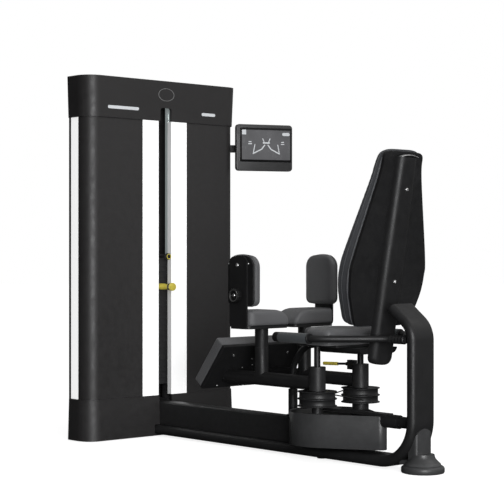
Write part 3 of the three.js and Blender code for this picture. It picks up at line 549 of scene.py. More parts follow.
def build_main_frame():
    bm = bmesh.new()
    shape = stadium(TUBE_THICK / 2 * MM, TUBE_WIDE / 2 * MM)
    pipe(bm, frame_path(), shape)
    # The head lies flat against the spine.
    verts = [v for v in bm.verts if v.co.z > HEAD_ABOVE]
    near = set(verts)
    edges = [e for e in bm.edges if near.issuperset(e.verts)]
    faces = [f for f in bm.faces if near.issuperset(f.verts)]
    bmesh.ops.bisect_plane(
        bm, geom=verts + edges + faces, plane_co=BACK_AT - BACK_OUT * JOINT_GAP,
        plane_no=BACK_OUT, clear_outer=True,
    )
    bmesh.ops.holes_fill(bm, edges=[e for e in bm.edges if e.is_boundary])
    piece("frame_tube", bm, COAT, "frame", ["main_frame"])


def build_foot():
    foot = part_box("foot_pad")
    middle = (foot[0] + foot[1]) / 2
    middle.z = 0
    bm = bmesh.new()
    profile = ((70, 0), (75, 1.5), (77, 5), (77, 17), (75.5, 21.5), (71, 25), (66, 26.6), (60, 27))
    turned(bm, middle, Z, profile, 72)
    piece("foot_disc", bm, SATIN, "frame", ["foot_pad"])
    bm = bmesh.new()
    bell = ((63, 27.5), (63.5, 30), (60, 37), (53, 44), (47, 50), (43.5, 58), (42, 66))
    turned(bm, middle - X * MM, Z, bell, 72)
    piece("foot_bell", bm, SATIN, "frame")


def build_cover():
    low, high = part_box("cable_cover")
    bm = bmesh.new()
    shape = rounded((low.y, low.z), (high.y, high.z), (9 * MM, 9 * MM, 2 * MM, 2 * MM))
    loft(bm, [[Vector((x, y, z)) for y, z in shape] for x in (low.x, high.x)])
    piece("cover_channel", bm, COAT, "frame", ["cable_cover"])


DRUM, TIP = (1000, 155), (1255, 26)  # centre along X and radius


def drum_outline(inset):
    """The shroud's outline: a round front drawn in to a narrow tip."""
    turn = math.degrees(math.acos((DRUM[1] - TIP[1]) / (TIP[0] - DRUM[0])))
    points = []
    for (x, r), start, end, steps in ((DRUM, turn, 360 - turn, 72), (TIP, -turn, turn, 16)):
        for i in range(steps + 1):
            angle = math.radians(start + (end - start) * i / steps)
            points.append((x + (r - inset) * math.cos(angle), (r - inset) * math.sin(angle)))
    return points


def build_drum():
    z0, z1 = limits("drum_shroud")[2]
    levels = (
        (4, z0 + 3), (0.6, z0), (0, z0 + 1), (0, z1 - 1.2), (0.8, z1), (3.4, z1), (4, z1 - 1), (4, z1 - 5),
    )
    bm = bmesh.new()
    loft(bm, [[at(x, y, z) for x, y in drum_outline(inset)] for inset, z in levels])
    obj = piece("drum_shell", bm, SATIN, "frame", ["drum_shroud"], parts=(DARK,))
    for face in obj.data.polygons:
        if face.center.z > (z1 - 6) * MM and abs(face.normal.z) > 0.9 and face.area > 0.01:
            face.material_index = 1


build_main_frame()
build_foot()
build_cover()
build_drum()


# ------------------------------------------------------------------ seat group
def build_seat_frame():
    """The box under the seat, cut off at the spine's slope, and the plate on top of it."""
    low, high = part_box("seat_frame")
    front, bottom, half, plate = at(1030, 0, 0).x, 409, 98, 9
    top = high.z / MM - plate
    sheet = 34.5 * 1.016 * MM + JOINT_GAP  # the spine's depth, measured along X
    bm = bmesh.new()
    rings = []
    for inset, x in ((8, front), (2.5, front + 0.002), (0, front + 0.007)):
        grown = rounded((-half + inset, bottom + inset), (half - inset, top), (2, 2, 21, 21), 8)
        rings.append([Vector((x, y * MM, z * MM)) for y, z in grown])
    rear = []
    for y, z in rounded((-half, bottom), (half, top), (2, 2, 22, 22), 8):
        x = BACK_AT.x + (z * MM - BACK_AT.z) * math.tan(BACK_TILT) - sheet
        rear.append(Vector((x, y * MM, z * MM)))
    rings.append(rear)
    loft(bm, rings)
    flat = rounded((low.x, -0.135), (at(1170, 0, 0).x, 0.135), MM, 3)
    loft(bm, [[Vector((x, y, z)) for x, y in flat] for z in (high.z - 0.008, high.z)])
    piece("seat_box", bm, COAT, "frame", ["seat_frame"])


def build_strut():
    x = 795
    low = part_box("seat_strut")[0].z
    line = curve_through([
        at(x, 0, low / MM + 5), at(x, 0, 250), at(x - 1, 0, 300), at(x + 3, 0, 332),
        at(x + 18, 0, 364), at(x + 45, 0, 396), at(x + 80, 0, 418), at(x + 130, 0, 428),
        at(x + 190, 0, 430),
    ], 12)
    bm = bmesh.new()
    pipe(bm, line, circle(12 * MM, 32))
    foot = at(x, 0, low / MM)
    turned(bm, foot, Z, ((18, 0), (18, 103), (17, 105), (13, 105.5)), 40)
    turned(bm, foot + Z * 0.001, Z, ((26, 0), (26, 4), (24.5, 5.5), (18.5, 6)), 40)
    screw(bm, foot + Vector((0, -0.018, 0.055)), -Y, 5)
    screw(bm, foot + Vector((0.0145, -0.0105, 0.086)), Vector((1, -0.7, 0)), 4)
    piece("front_strut", bm, COAT, "frame", ["seat_strut"])


BAR_Z, GRIP_Y = 468, 240


def build_handlebar(side, name):
    """A bent bar with its ribbed socket at the spine, and the grip on its front end."""
    y = side * GRIP_Y
    line = curve_through([
        at(966, y, BAR_Z), at(1109, y, BAR_Z), at(1159, side * 232, BAR_Z), at(1250, side * 148, BAR_Z),
        at(1310, side * 78, BAR_Z), at(1350, side * 46, BAR_Z), at(1436.5, side * 42, BAR_Z),
    ], 12)
    line = [p for p in line if p.x < at(1429, 0, 0).x]
    bm = bmesh.new()
    pipe(bm, line, circle(12.5 * MM, 32), Z)
    ribs = [(14, 0), (16, 1.5), (16, 9)]
    for groove in (11, 25, 39, 53):
        ribs += [(14.5, groove), (14.5, groove + 2), (16, groove + 4), (16, groove + 12)]
    ribs.append((14, 67))
    start = at(1352, side * 45.6, BAR_Z)
    axis = at(1436, side * 42, BAR_Z) - start
    turned(bm, start, axis, ribs, 32)
    piece("handlebar_tube_" + name, bm, COAT, "frame", ["handlebar_" + name])

    (front, end), _, _ = limits("grip_" + name)
    length = end - front
    start = at(front, y, BAR_Z)
    bm = bmesh.new()
    tagged(bm, 0, turned, start, X, (
        (16, 29), (18.6, 29.4), (19, 31), (19, length * 0.5), (19, length - 9),
        (18.2, length - 7), (17.0, length - 6.2),
    ), 48)
    tagged(bm, 1, turned, start, X, (
        (9, 3), (10.5, 0.6), (13, 0), (16, 0.8), (17.8, 3), (18.4, 7), (18.4, 28.5), (16, 29.2),
    ), 48)
    tagged(bm, 1, turned, start, X, (
        (17.5, length - 7), (19, length - 6), (19, length - 1), (18, length), (13, length),
    ), 48)
    piece("grip_sleeve_" + name, bm, GRIP, "frame", ["grip_" + name], parts=(DARK,))


build_seat_frame()
build_strut()
for side_sign, side_name in SIDES:
    build_handlebar(side_sign, side_name)


# ------------------------------------------------------------------ soft goods
def outline_inset(points, amount):
    """A closed outline moved inwards, point by point, whichever way round it runs."""
    result = []
    count = len(points)
    area = sum(a[0] * b[1] - a[1] * b[0] for a, b in zip(points, points[1:] + points[:1]))
    amount = math.copysign(amount, amount * area)
    for i in range(count):
        before, after = Vector(points[i - 1]), Vector(points[(i + 1) % count])
        along = (after - before).normalized()
        result.append((points[i][0] - along.y * amount, points[i][1] + along.x * amount))
    return result


def pad_solid(outline, depth, low_round, high_round, place):
    """A closed pad: outline in millimetres, depth along the third direction, eased edges."""
    turns = [math.pi / 2 * i / 6 for i in range(7)]
    levels = [(low_round * (1 - math.sin(t)), low_round * (1 - math.cos(t))) for t in turns]
    levels += [(high_round * (1 - math.cos(t)), depth - high_round * (1 - math.sin(t))) for t in turns]
    bm = bmesh.new()
    loft(bm, [[place(a, b, height) for a, b in outline_inset(outline, inset)] for inset, height in levels])
    return mesh_of("pad", bm)


def remeshed(mesh, voxel):
    """The mesh rebuilt of even small faces."""
    obj = placed("pad", mesh)
    remesh = obj.modifiers.new("remesh", "REMESH")
    remesh.mode = "VOXEL"
    remesh.voxel_size = voxel
    graph = bpy.context.evaluated_depsgraph_get()
    made = bpy.data.meshes.new_from_object(obj.evaluated_get(graph))
    bpy.data.objects.remove(obj)
    return made


PRESSURE, FRAMES = 4.0, 18


def swell(mesh, cap, held):
    """Fills the pad by cloth simulation; held says how firmly a point keeps its place."""
    scene = bpy.context.scene
    obj = placed("swelling", mesh)
    group = obj.vertex_groups.new(name="held")
    for vertex in mesh.vertices:
        weight = held(vertex.co)
        if weight > 0:
            group.add([vertex.index], weight, "REPLACE")
    cloth = obj.modifiers.new("cloth", "CLOTH")
    settings = cloth.settings
    settings.quality = 4
    settings.use_pressure = True
    settings.uniform_pressure_force = PRESSURE
    settings.effector_weights.gravity = 0
    settings.vertex_group_mass = "held"
    settings.tension_stiffness = 25
    settings.compression_stiffness = 25
    settings.bending_stiffness = 2
    scene.frame_start, scene.frame_end = 1, FRAMES
    for number in range(1, FRAMES + 1):
        scene.frame_set(number)
    graph = bpy.context.evaluated_depsgraph_get()
    swollen = obj.evaluated_get(graph).to_mesh()
    for vertex, moved in zip(mesh.vertices, swollen.vertices):
        shift = moved.co - vertex.co
        if shift.length > cap:
            shift *= cap / shift.length
        vertex.co = vertex.co + shift
    obj.modifiers.clear()
    scene.frame_set(1)
    bpy.data.objects.remove(obj)


def sew(mesh, path, depth, width):
    """Draws the surface in along a closed sewn line."""
    path = [a.lerp(b, i / 10) for a, b in zip(path, path[1:] + path[:1]) for i in range(10)]
    tree = kdtree.KDTree(len(path))
    for i, point in enumerate(path):
        tree.insert(point, i)
    tree.balance()
    normals = [vertex.normal.copy() for vertex in mesh.vertices]
    for vertex, normal in zip(mesh.vertices, normals):
        distance = tree.find(vertex.co)[2]
        if distance < 3 * width:
            vertex.co -= normal * depth * math.exp(-((distance / width) ** 2))


def soft_piece(name, mesh, body, node, hide=HIDE):
    """Upholsters a pad's mesh and puts it in place of its CAD solid."""
    mesh.name = name
    mesh.materials.clear()
    mesh.materials.append(hide)
    shaded_smooth(mesh)
    obj = placed(name, mesh)
    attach(obj, body)
    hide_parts(node)
    smooth = obj.modifiers.new("ease", "SMOOTH")
    smooth.factor = 0.5
    smooth.iterations = 3
    subdivision = obj.modifiers.new("subdivision", "SUBSURF")
    subdivision.levels = subdivision.render_levels = 1


def piping(bm, path, radius):
    """A closed welt along a path."""
    last = len(path)
    v = None
    rings = []
    for i, point in enumerate(path):
        ahead = (path[(i + 1) % last] - path[i - 1]).normalized()
        if v is None:
            v = basis(ahead)[0]
        v = (v - ahead * v.dot(ahead)).normalized()
        rings.append(ring(point, v.cross(ahead), v, circle(radius * MM, 8)))
    loft(bm, rings, closed=True)


def mirrored(points):
    """Half an outline, with its other half across the first axis."""
    return points + [(a, -b) for a, b in reversed(points[1:-1])]


def smooth_outline(points):
    curve = curve_through([Vector((a, b, 0)) for a, b in points], 4, closed=True)
    return [(p.x, p.y) for p in curve]


BACK_HALF = [  # half the backrest's outline: up it and across it, in millimetres
    (-176, 0), (-176, 60), (-176, 112), (-170, 134), (-156, 148), (-110, 168), (-60, 186), (-25, 194),
    (10, 196.5), (45, 194.5), (80, 188.5), (180, 163), (270, 139), (365, 114), (420, 104.5), (447, 95),
    (461, 78), (467, 52), (468, 0),
]


def build_back():
    base = 45.8  # the pad's rear, forward of the spine
    outline = smooth_outline(mirrored(BACK_HALF))
    deep, shallow = 58.0, 30.0

    def taper(s):
        return deep + (shallow - deep) * min(max((s - 60) / 410, 0), 1)

    def place(s, y, depth):
        return back_place(s, y, base + depth * taper(s) / deep)

    mesh = remeshed(pad_solid(outline_inset(outline, 2), deep - 2, 4, 9, place), 0.0055)
    rear = BACK_AT + BACK_OUT * ((base + 8) * MM)
    swell(mesh, 0.007, lambda co: 1.0 if (co - rear).dot(BACK_OUT) < 0 else 0.12)
    channel = [place(s, y, deep - 2) for s, y in outline_inset(outline, 40)]
    sew(mesh, channel, 0.0024, 0.0095)
    soft_piece("back_pad", mesh, "frame", "back_cushion", BACK_HIDE)
    bm = bmesh.new()
    piping(bm, [place(s, y, 1.5) for s, y in outline_inset(outline, 1.0)], 2.2)
    piping(bm, [place(s, y, deep * 0.5) for s, y in outline_inset(outline, 1.4)], 1.3)
    piece("back_welt", bm, BACK_HIDE, "frame")


SEAT_HALF = [  # half the seat's outline: from the tower's face and across, in millimetres
    (1178, 0), (1178, 90), (1177, 150), (1170, 174), (1150, 184.5), (1115, 186), (1080, 184), (1048, 172),
    (1022, 146), (1003, 118), (982, 105), (962, 100), (948, 86), (942, 60), (941, 0),
]


def build_seat():
    low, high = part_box("seat_cushion")
    depth = (high.z - low.z) / MM
    outline = smooth_outline(mirrored(SEAT_HALF))
    outline.reverse()

    def place(x, y, height):
        return at(x, y, low.z / MM + height)

    mesh = remeshed(pad_solid(outline_inset(outline, 2.5), depth - 3, 3, 17, place), 0.005)
    swell(mesh, 0.007, lambda co: 1.0 if co.z < low.z + 0.010 else 0.12)
    channel = [place(x, y, depth - 3) for x, y in outline_inset(outline, 36)]
    sew(mesh, channel, 0.0030, 0.0045)
    soft_piece("seat_pad", mesh, "frame", "seat_cushion")
    bm = bmesh.new()
    piping(bm, [place(x, y, 2.5) for x, y in outline_inset(outline, 2.0)], 2.0)
    piece("seat_welt", bm, HIDE, "frame")


def build_thigh_pad(side, name, body):
    """A pad whose inner end is rounded off on top."""
    low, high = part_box("thigh_pad_" + name)
    swelling = 1.5  # room left for the swelling
    deep = (high.z - low.z) / MM - swelling
    middle, half = ((low.x + high.x) / 2 - FACE) / MM, (high.x - low.x) / 2 / MM - swelling
    _, (y0, y1), _ = limits("thigh_pad_" + name)
    y0, y1 = y0 + swelling, y1 - swelling
    reach, drop, corner, outer_reach, outer_drop = 78, deep - 5, 24, 12, 9
    rings = []
    steps = [0, 0.6, 1.6, 3, 6, 10, 15, 21, 28, 36, 46, 56, 67, 80, 120, 150, 170, 184, 192, 198, 202, 205]
    for step in [*steps, y1 - y0]:
        inner = max(0.0, 1 - step / reach)
        edge = max(0.0, 1 - min(step, y1 - y0 - step) / corner)
        height = deep - drop * (1 - math.sqrt(1 - inner ** 2))
        wide = half - corner * (1 - math.sqrt(1 - edge ** 2)) * 0.92
        if step > y1 - y0 - outer_reach:
            outer = 1 - (y1 - y0 - step) / outer_reach
            height -= outer_drop * (1 - math.sqrt(1 - outer ** 2))
        ease, foot = min(13.0, height * 0.6), min(5.0, height * 0.35)
        shape = rounded((middle - wide, 0), (middle + wide, height), (ease, ease, foot, foot), 6)
        rings.append([at(x, side * (y0 + step), low.z / MM + z) for x, z in shape])
    bm = bmesh.new()
    loft(bm, rings)
    mesh = remeshed(mesh_of("pad", bm), 0.0048)
    swell(mesh, 0.004, lambda co: 1.0 if co.z < low.z + 0.010 else 0.2)
    soft_piece("thigh_cushion_" + name, mesh, body, "thigh_pad_" + name)
    bm = bmesh.new()
    x0, x1 = middle - half, middle + half
    base = rounded((x0 + 3, y0 + 3), (x1 - 3, y1 - 3), 22, 8)
    loft(bm, [[at(x, side * y, low.z / MM + z) for x, y in outline_inset(base, inset)]
              for inset, z in ((1.5, 0.2), (0, 1.5), (0, 6))])
    piece("thigh_board_" + name, bm, BOARD, body)


def build_knee_pad(side, name, body):
    """An upright pad with an arched top, on its board."""
    (x0, x1), (y0, y1), (z0, z1) = limits("knee_pad_" + name)
    depth, board = y1 - y0, 8
    outline = crowned((x0 + 1.5, z0 + 1.5), (x1 - 1.5, z1 + 3), (34, 34, 24, 24), 13)

    def place(x, z, height):
        return at(x, side * (y1 - board - height), z)

    mesh = remeshed(pad_solid(outline, depth - board - 1.5, 4, 13, place), 0.0045)
    rear = (y1 - board - 5) * MM
    swell(mesh, 0.005, lambda co: 1.0 if abs(co.y) > rear else 0.15)
    soft_piece("knee_cushion_" + name, mesh, body, "knee_pad_" + name)
    bm = bmesh.new()
    rim = outline_inset(outline, 3)
    loft(bm, [[at(x, side * (y1 - height), z) for x, z in outline_inset(rim, inset)]
              for inset, height in ((1.5, 0.2), (0, 1.7), (0, board - 2), (1, board - 0.6))])
    piece("knee_board_" + name, bm, BOARD, body)
    bm = bmesh.new()
    piping(bm, [at(x, side * (y1 - board - 3), z) for x, z in outline_inset(outline, -0.4)], 1.3)
    piece("knee_welt_" + name, bm, HIDE, body)


BOARD_TOP, BOARD_BOTTOM = Vector((639, 413.4)), Vector((503.4, 242.8))  # x and z
BOARD_THICK = 60


def build_leg_board(side, name, body):
    """The sloping padded board at the foot of an arm, with its backing and screws."""
    along = (BOARD_BOTTOM - BOARD_TOP).normalized()
    out = Vector((along.y, -along.x))
    length = (BOARD_BOTTOM - BOARD_TOP).length
    rear = 14

    def place(a, y, depth):
        point = BOARD_TOP + along * a + out * depth
        return at(point.x, side * y, point.y)

    outer = abs(outer_face("leg_board_" + name, side)) / MM
    face = dense(rounded((0.8, 2), (length - 0.8, outer - 0.8), 4, 5))
    padded = pad_solid(face, BOARD_THICK - rear - 1, 1.5, 4.5, lambda a, y, h: place(a, y, rear + h))
    mesh = remeshed(padded, 0.0036)
    normal = (place(0, 0, 1) - place(0, 0, 0)).normalized()
    floor = place(0, 0, rear + 6)
    swell(mesh, 0.002, lambda co: 1.0 if (co - floor).dot(normal) < 0 else 0.5)
    soft_piece("leg_cushion_" + name, mesh, body, "leg_board_" + name)
    bm = bmesh.new()
    back = rounded((0.4, 1.6), (length - 0.4, outer - 0.4), 3, 5)
    loft(bm, [[place(a, y, depth) for a, y in outline_inset(back, inset)]
              for inset, depth in ((1.5, 0.3), (0, 1.8), (0, rear - 1.2), (0.8, rear - 0.3))])
    tagged(bm, 1, leg_board_screws, place, length, -normal)
    piece("leg_backing_" + name, bm, BOARD, body, parts=(STEEL,))


def leg_board_screws(bm, place, length, axis):
    for a, y, radius in ((47, 143, 5.5), (length - 12, 143, 5.5), (72, 33, 3), (105, 14, 3), (115, 62, 3)):
        screw(bm, place(a, y, 0.2), axis, radius)


build_back()
build_seat()
for side_sign, side_name in SIDES:
    build_thigh_pad(side_sign, side_name, side_name + "_pad_carrier")
    build_knee_pad(side_sign, side_name, side_name + "_pad_carrier")
    build_leg_board(side_sign, side_name, side_name + "_arm")


# --------------------------------------------------------------- arm mechanics
HUB = (1046.6, 114)  # an arm's axle: along X and across


def build_wheel(side, name):
    """The hub's wheel with a groove for each crossed cable."""
    low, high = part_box("hub_wheel_" + name)
    rim = (high.x - low.x) / 2 / MM
    base = at(HUB[0], side * HUB[1], low.z / MM)
    wall = rim - 7
    profile = [(13, 0), (24, 0), (28, 2.5), (wall - 8, 2.5), (wall - 4, 0), (rim - 0.6, 0), (rim, 0.8)]
    for z in (2, 29):
        profile += [
            (rim, z), (rim - 0.6, z + 0.8), (wall + 1, z + 3), (wall, z + 5), (wall, z + 20),
            (wall + 1, z + 22), (rim - 0.6, z + 24.2), (rim, z + 25),
        ]
    profile += [
        (rim, 55.2), (rim - 0.6, 56), (wall - 4, 56), (wall - 8, 53.5), (28, 53.5), (24, 56), (13, 56),
    ]
    bm = bmesh.new()
    turned(bm, base, Z, profile, 72)
    piece("cable_wheel_" + name, bm, COAT, name + "_arm", ["hub_wheel_" + name])


def build_lever():
    """The range lever: a ribbed yellow grip, its rod and the eye at its hinge."""
    y, z = HUB[1], 352
    tip = limits("range_lever")[0][0]
    bm = bmesh.new()
    ribs = [(4, 0), (6.4, 1.2)]
    for i in range(9):
        start = 4 + i * 8
        ribs += [(6.8, start), (6.8, start + 5), (6.1, start + 6), (6.1, start + 7)]
    ribs += [(6.8, 77), (4, 78)]
    tagged(bm, 0, turned, at(tip, y, z - 5), Vector((1, 0, 0.03)), ribs, 24)
    tagged(bm, 1, rod, at(tip + 76, y, z - 2.6), at(975, y, z), 4.6, 0.8, 20)
    tagged(bm, 1, turned, at(976, y - 5, z), Y, ((4, 0), (6.8, 0.6), (6.8, 9.4), (4, 10)), 28)
    piece("lever_rod", bm, YELLOW, "range_lever", ["range_lever"], parts=(COAT,))


def build_knob(side, name):
    start = at(740, side * limits("pad_knob_" + name)[1][0], 615)
    axis = Y * side
    bm = bmesh.new()
    tagged(bm, 0, turned, start, axis, ((12, 0), (14, 0.5), (14, 7.5), (16, 8)), 40)
    tagged(bm, 0, grip_body, start, axis)
    rim = ((19.6, 28), (23, 28), (23.8, 28.8), (23.6, 29.6), (22.6, 30), (20.4, 30), (19.6, 29.4))
    tagged(bm, 1, turned, start, axis, rim, 48, closed=True)
    tagged(bm, 1, screw, start + axis * (24.5 * MM), axis, 7)
    piece("knob_" + name, bm, KNURL, name + "_pad_knob", ["pad_knob_" + name], parts=(STEEL,))


def grip_body(bm, start, axis):
    """The knob's body, with flutes round its edge."""
    u, v = basis(axis)
    sides, flutes, flute_depth, dish = 96, 16, 1.3, 20
    profile = (
        (24, 7), (27.5, 8.5), (28, 11), (28, 24), (27.2, 27), (24.5, 28.6), (19, 28.6), (17.5, 24.5),
        (9, 24.5),
    )
    rings = []
    for radius, height in profile:
        shape = []
        for i, (a, b) in enumerate(circle(1, sides)):
            wave = 0.5 + 0.5 * math.cos(flutes * 2 * math.pi * i / sides)
            r = radius - (flute_depth * wave if radius > dish else 0)
            shape.append((a * r * MM, b * r * MM))
        rings.append(ring(start + axis * (height * MM), u, v, shape))
    loft(bm, rings)


PULLEY_X = -100.5  # both pulleys, behind the tower's face
LIFT_CABLE = 3  # radius


def build_lift_cable():
    """The run above the stack, on a mesh of its own, and the run over both pulleys to the drum."""
    groove, top, base, drum_end, travel = 24.5, 1350, 135, 880, 135
    stack_top = limits("head_plate")[2][1]
    shape = circle(LIFT_CABLE * MM, 12)
    bm = bmesh.new()
    start, end = at(PULLEY_X + groove, 0, stack_top + 1), at(PULLEY_X + groove, 0, top)
    pipe(bm, [start.lerp(end, i / 12) for i in range(13)], shape, X)
    run = piece("lift_cable_run", bm, RUBBER, "frame", ["lift_cable"])
    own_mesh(run)
    bm = bmesh.new()
    over = arc((PULLEY_X, top), groove, 0, 180, 16)
    under = arc((PULLEY_X, base), groove, 180, 270, 10)
    pipe(bm, over + under + [at(drum_end, 0, base - groove)], shape, Y)
    piece("drive_cable", bm, RUBBER, "frame", ["lift_cable"])


def build_cables():
    """The crossed cables that tie the two wheels together."""
    low = limits("hub_wheel_left")[2][0]
    radius = 68.5
    lean = math.acos(radius / HUB[1])
    bm = bmesh.new()
    for near, far, way in ((14, 42, -1), (42, 14, 1)):
        ends = []
        for side, rise in ((-1, near), (1, far)):
            angle = side * (way * lean - math.pi / 2)
            middle = at(HUB[0], side * HUB[1], low + rise)
            ends.append(middle + Vector((math.cos(angle), math.sin(angle), 0)) * (radius * MM))
        pipe(bm, [ends[0].lerp(ends[1], i / 8) for i in range(9)], circle(2.4 * MM, 12), Z)
    piece("tie_cables", bm, DARK, "frame")


for side_sign, side_name in SIDES:
    build_wheel(side_sign, side_name)
    build_knob(side_sign, side_name)
build_lever()
build_lift_cable()
build_cables()


# ---------------------------------------------------------------------- tower
def pin_of(node):
    """A pin's rear end, and its length in millimetres."""
    low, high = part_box(node)
    return Vector((low.x, 0, (low.z + high.z) / 2)), (high.x - low.x) / MM


def build_selector():
    start, length = pin_of("selector_pin")
    bm = bmesh.new()
    tagged(bm, 1, rod, start, start + X * ((length - 80) * MM), 5, 1.5, 24)
    tagged(bm, 0, turned, start, X, (
        (9, length - 93), (13, length - 92), (13, length - 60), (11.5, length - 58), (11.5, length - 36),
        (13, length - 34), (13, length - 27), (8, length - 26),
    ), 40)
    tagged(bm, 2, turned, start, X, (
        (10, length - 27), (15, length - 26), (15, length - 13), (10, length - 12),
    ), 40)
    tagged(bm, 0, turned, start, X, (
        (10, length - 14), (15.5, length - 13.4), (17, length - 11.5), (17, length - 4), (15.5, length - 1.2),
        (11, length),
    ), 40)
    piece("selector", bm, YELLOW, "selector_pin", ["selector_pin"], parts=(CHROME, DARK))


def build_stack_knob():
    start, length = pin_of("head_plate_knob")
    bm = bmesh.new()
    tagged(bm, 1, rod, start, start + X * ((length - 12) * MM), 6, 0.5, 24)
    tagged(bm, 1, turned, start, X, (
        (8, length - 16), (12.5, length - 15.5), (14, length - 13.5), (14, length - 3),
        (12.5, length - 1), (8, length - 0.6),
    ), 40)
    tagged(bm, 0, turned, start, X, (
        (8.4, length - 0.9), (9, length - 0.3), (11.5, length - 0.3), (12, length - 1.2), (8.6, length - 1.3),
    ), 40)
    piece("stack_knob", bm, YELLOW, "lifted_stack", ["head_plate_knob"], parts=(DARK,))


DISPLAY_AT = (60, 512, 1242)
DISPLAY_SIZE = (28, 264, 206)  # depth, width and height
DISPLAY_TURN = math.radians(-22.2)
TURNED = Matrix.Rotation(DISPLAY_TURN, 3, "Z")
SWIVEL_X, SWIVEL_Y, SWIVEL_LOW, SWIVEL_HIGH = 22, 524, 1225, 1257


def build_display():
    """The display's case, glass, screen and sign, with its two ears and their pin."""
    half_d, half_w, half_h = (size / 2 for size in DISPLAY_SIZE)

    def place(forward, across, up):
        return at(*DISPLAY_AT) + TURNED @ Vector((forward * MM, across * MM, up * MM))

    def slab(bm, levels, low, high, radius):
        rings = []
        for inset, forward in levels:
            shape = outline_inset(rounded(low, high, radius, 8), inset)
            rings.append([place(forward, a, b) for a, b in shape])
        loft(bm, rings)

    bm = bmesh.new()
    edge = (
        (6, -half_d), (1.8, 1.5 - half_d), (0, 6 - half_d), (0, half_d - 3), (0.9, half_d - 0.9),
        (3, half_d - 0.2),
    )
    glass = ((0.6, half_d - 0.4), (0.8, half_d - 0.1), (1.4, half_d))
    screen = ((0, half_d - 0.05), (0.1, half_d + 0.05))
    tagged(bm, 0, slab, edge, (-half_w, -half_h), (half_w, half_h), 15)
    tagged(bm, 1, slab, glass, (-117, -64), (128.5, 89), 5)
    tagged(bm, 2, slab, screen, (-107, -53), (121, 79), 2)
    tagged(bm, 3, pictogram, place, half_d + 0.12)
    for z in (SWIVEL_LOW - 12, SWIVEL_HIGH + 0.4):
        tagged(bm, 4, lug, z)
    foot, head = (at(SWIVEL_X, SWIVEL_Y, z) for z in (SWIVEL_LOW - 13.5, SWIVEL_HIGH + 13.5))
    tagged(bm, 5, rod, foot, head, 7.6, 1.5, 32)
    for across, up in ((-100, 60), (100, 60), (-100, -60), (100, -60)):
        tagged(bm, 5, screw, place(-half_d + 0.2, across, up), TURNED @ -X, 4)
    piece("display_unit", bm, SATIN_DARK, "display", ["display_case"],
          parts=(GLASS, SCREEN, MARK, DARK, STEEL))


def lug(bm, low):
    """An ear of the display round its swivel pin."""
    shape = rounded((-14, -14), (30, 14), (3, 13.5, 13.5, 3), 6)
    loft(bm, [[at(SWIVEL_X, SWIVEL_Y, z) + TURNED @ Vector((a * MM, b * MM, 0)) for a, b in shape]
              for z in (low, low + 11.6)])


def stroke(bm, place, forward, a, b, thick):
    """A flat bar with round ends on the screen."""
    a, b = Vector(a), Vector(b)
    along = (b - a).normalized()
    across = Vector((-along.y, along.x))
    shape = []
    for point, start in ((b, -90), (a, 90)):
        for i in range(9):
            angle = math.radians(start + 180 * i / 8)
            shape.append(point + (along * math.cos(angle) + across * math.sin(angle)) * (thick / 2))
    loft(bm, [[place(forward + h, p.x, p.y) for p in shape] for h in (0, 0.25)])


def pictogram(bm, place, forward):
    """A plain sign of two opening wedges, with short bars and two status marks."""
    middle = 8
    strokes = (  # from, to and thickness on one side of the middle
        ((8, 12), (22, -6), 5), ((22, -6), (62, -26), 5), ((62, -26), (54, 14), 4),
        ((10, 24), (17, 40), 4), ((72, 26), (82, 26), 4), ((70, 17), (84, 17), 4),
    )
    for side in (-1, 1):
        for a, b, thick in strokes:
            start, end = (middle + side * a[0], a[1]), (middle + side * b[0], b[1])
            stroke(bm, place, forward, start, end, thick)
    stroke(bm, place, forward, (middle - 14, 22), (middle + 14, 22), 6)
    stroke(bm, place, forward, (90, 62), (112, 62), 14)
    for rise in (-7, 0, 7):
        stroke(bm, place, forward, (-103, 68 + rise), (-91, 68 + rise), 8)


def header_face(z):
    """The header's front face, which leans forward with its height."""
    low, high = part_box("header_cover")
    return FACE + (6 + 5.5 * (z - low.z) / (high.z - low.z)) * MM


def build_header_inlays():
    """Plain inlays on the header: two bars and an oval ring, sunk into its face."""
    bm = bmesh.new()
    for y, z, half_w, half_h in ((-0.225, 1.3785, 0.080, 0.0065), (0.235, 1.376, 0.038, 0.0065)):
        shape = rounded((y - half_w, z - half_h), (y + half_w, z + half_h), half_h * 0.9, 5)
        loft(bm, [[Vector((header_face(b) + d, a, b)) for a, b in shape] for d in (-0.002, 0.0008)])
    rings = []
    for scale, d in ((1, -0.002), (1, 0.0006), (0.925, 0.0006), (0.925, -0.002)):
        oval = [(0.043 * scale * a, 1.447 + 0.027 * scale * b) for a, b in circle(1, 64)]
        rings.append([Vector((header_face(b) + d, a, b)) for a, b in oval])
    tagged(bm, 1, loft, rings, closed=True)
    piece("header_inlays", bm, MARK, "frame", parts=(RING,))


def screws(name, body, heads):
    """Bright screws as one piece, each with its place, axis and radius."""
    bm = bmesh.new()
    for place, axis, radius in heads:
        screw(bm, place, axis, radius)
    piece(name, bm, STEEL, body)


def build_rear_screws():
    rear, plinth = (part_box(node)[0].x for node in ("rear_cover", "plinth_cover"))
    heads = []
    for side in (-1, 1):
        heads += [(Vector((rear, side * 0.372, z)), -X, 6) for z in (0.21, 0.58, 0.95, 1.30)]
        heads += [(Vector((plinth, side * 0.35, z)), -X, 6) for z in (0.09, 1.42)]
    screws("rear_screws", "frame", heads)


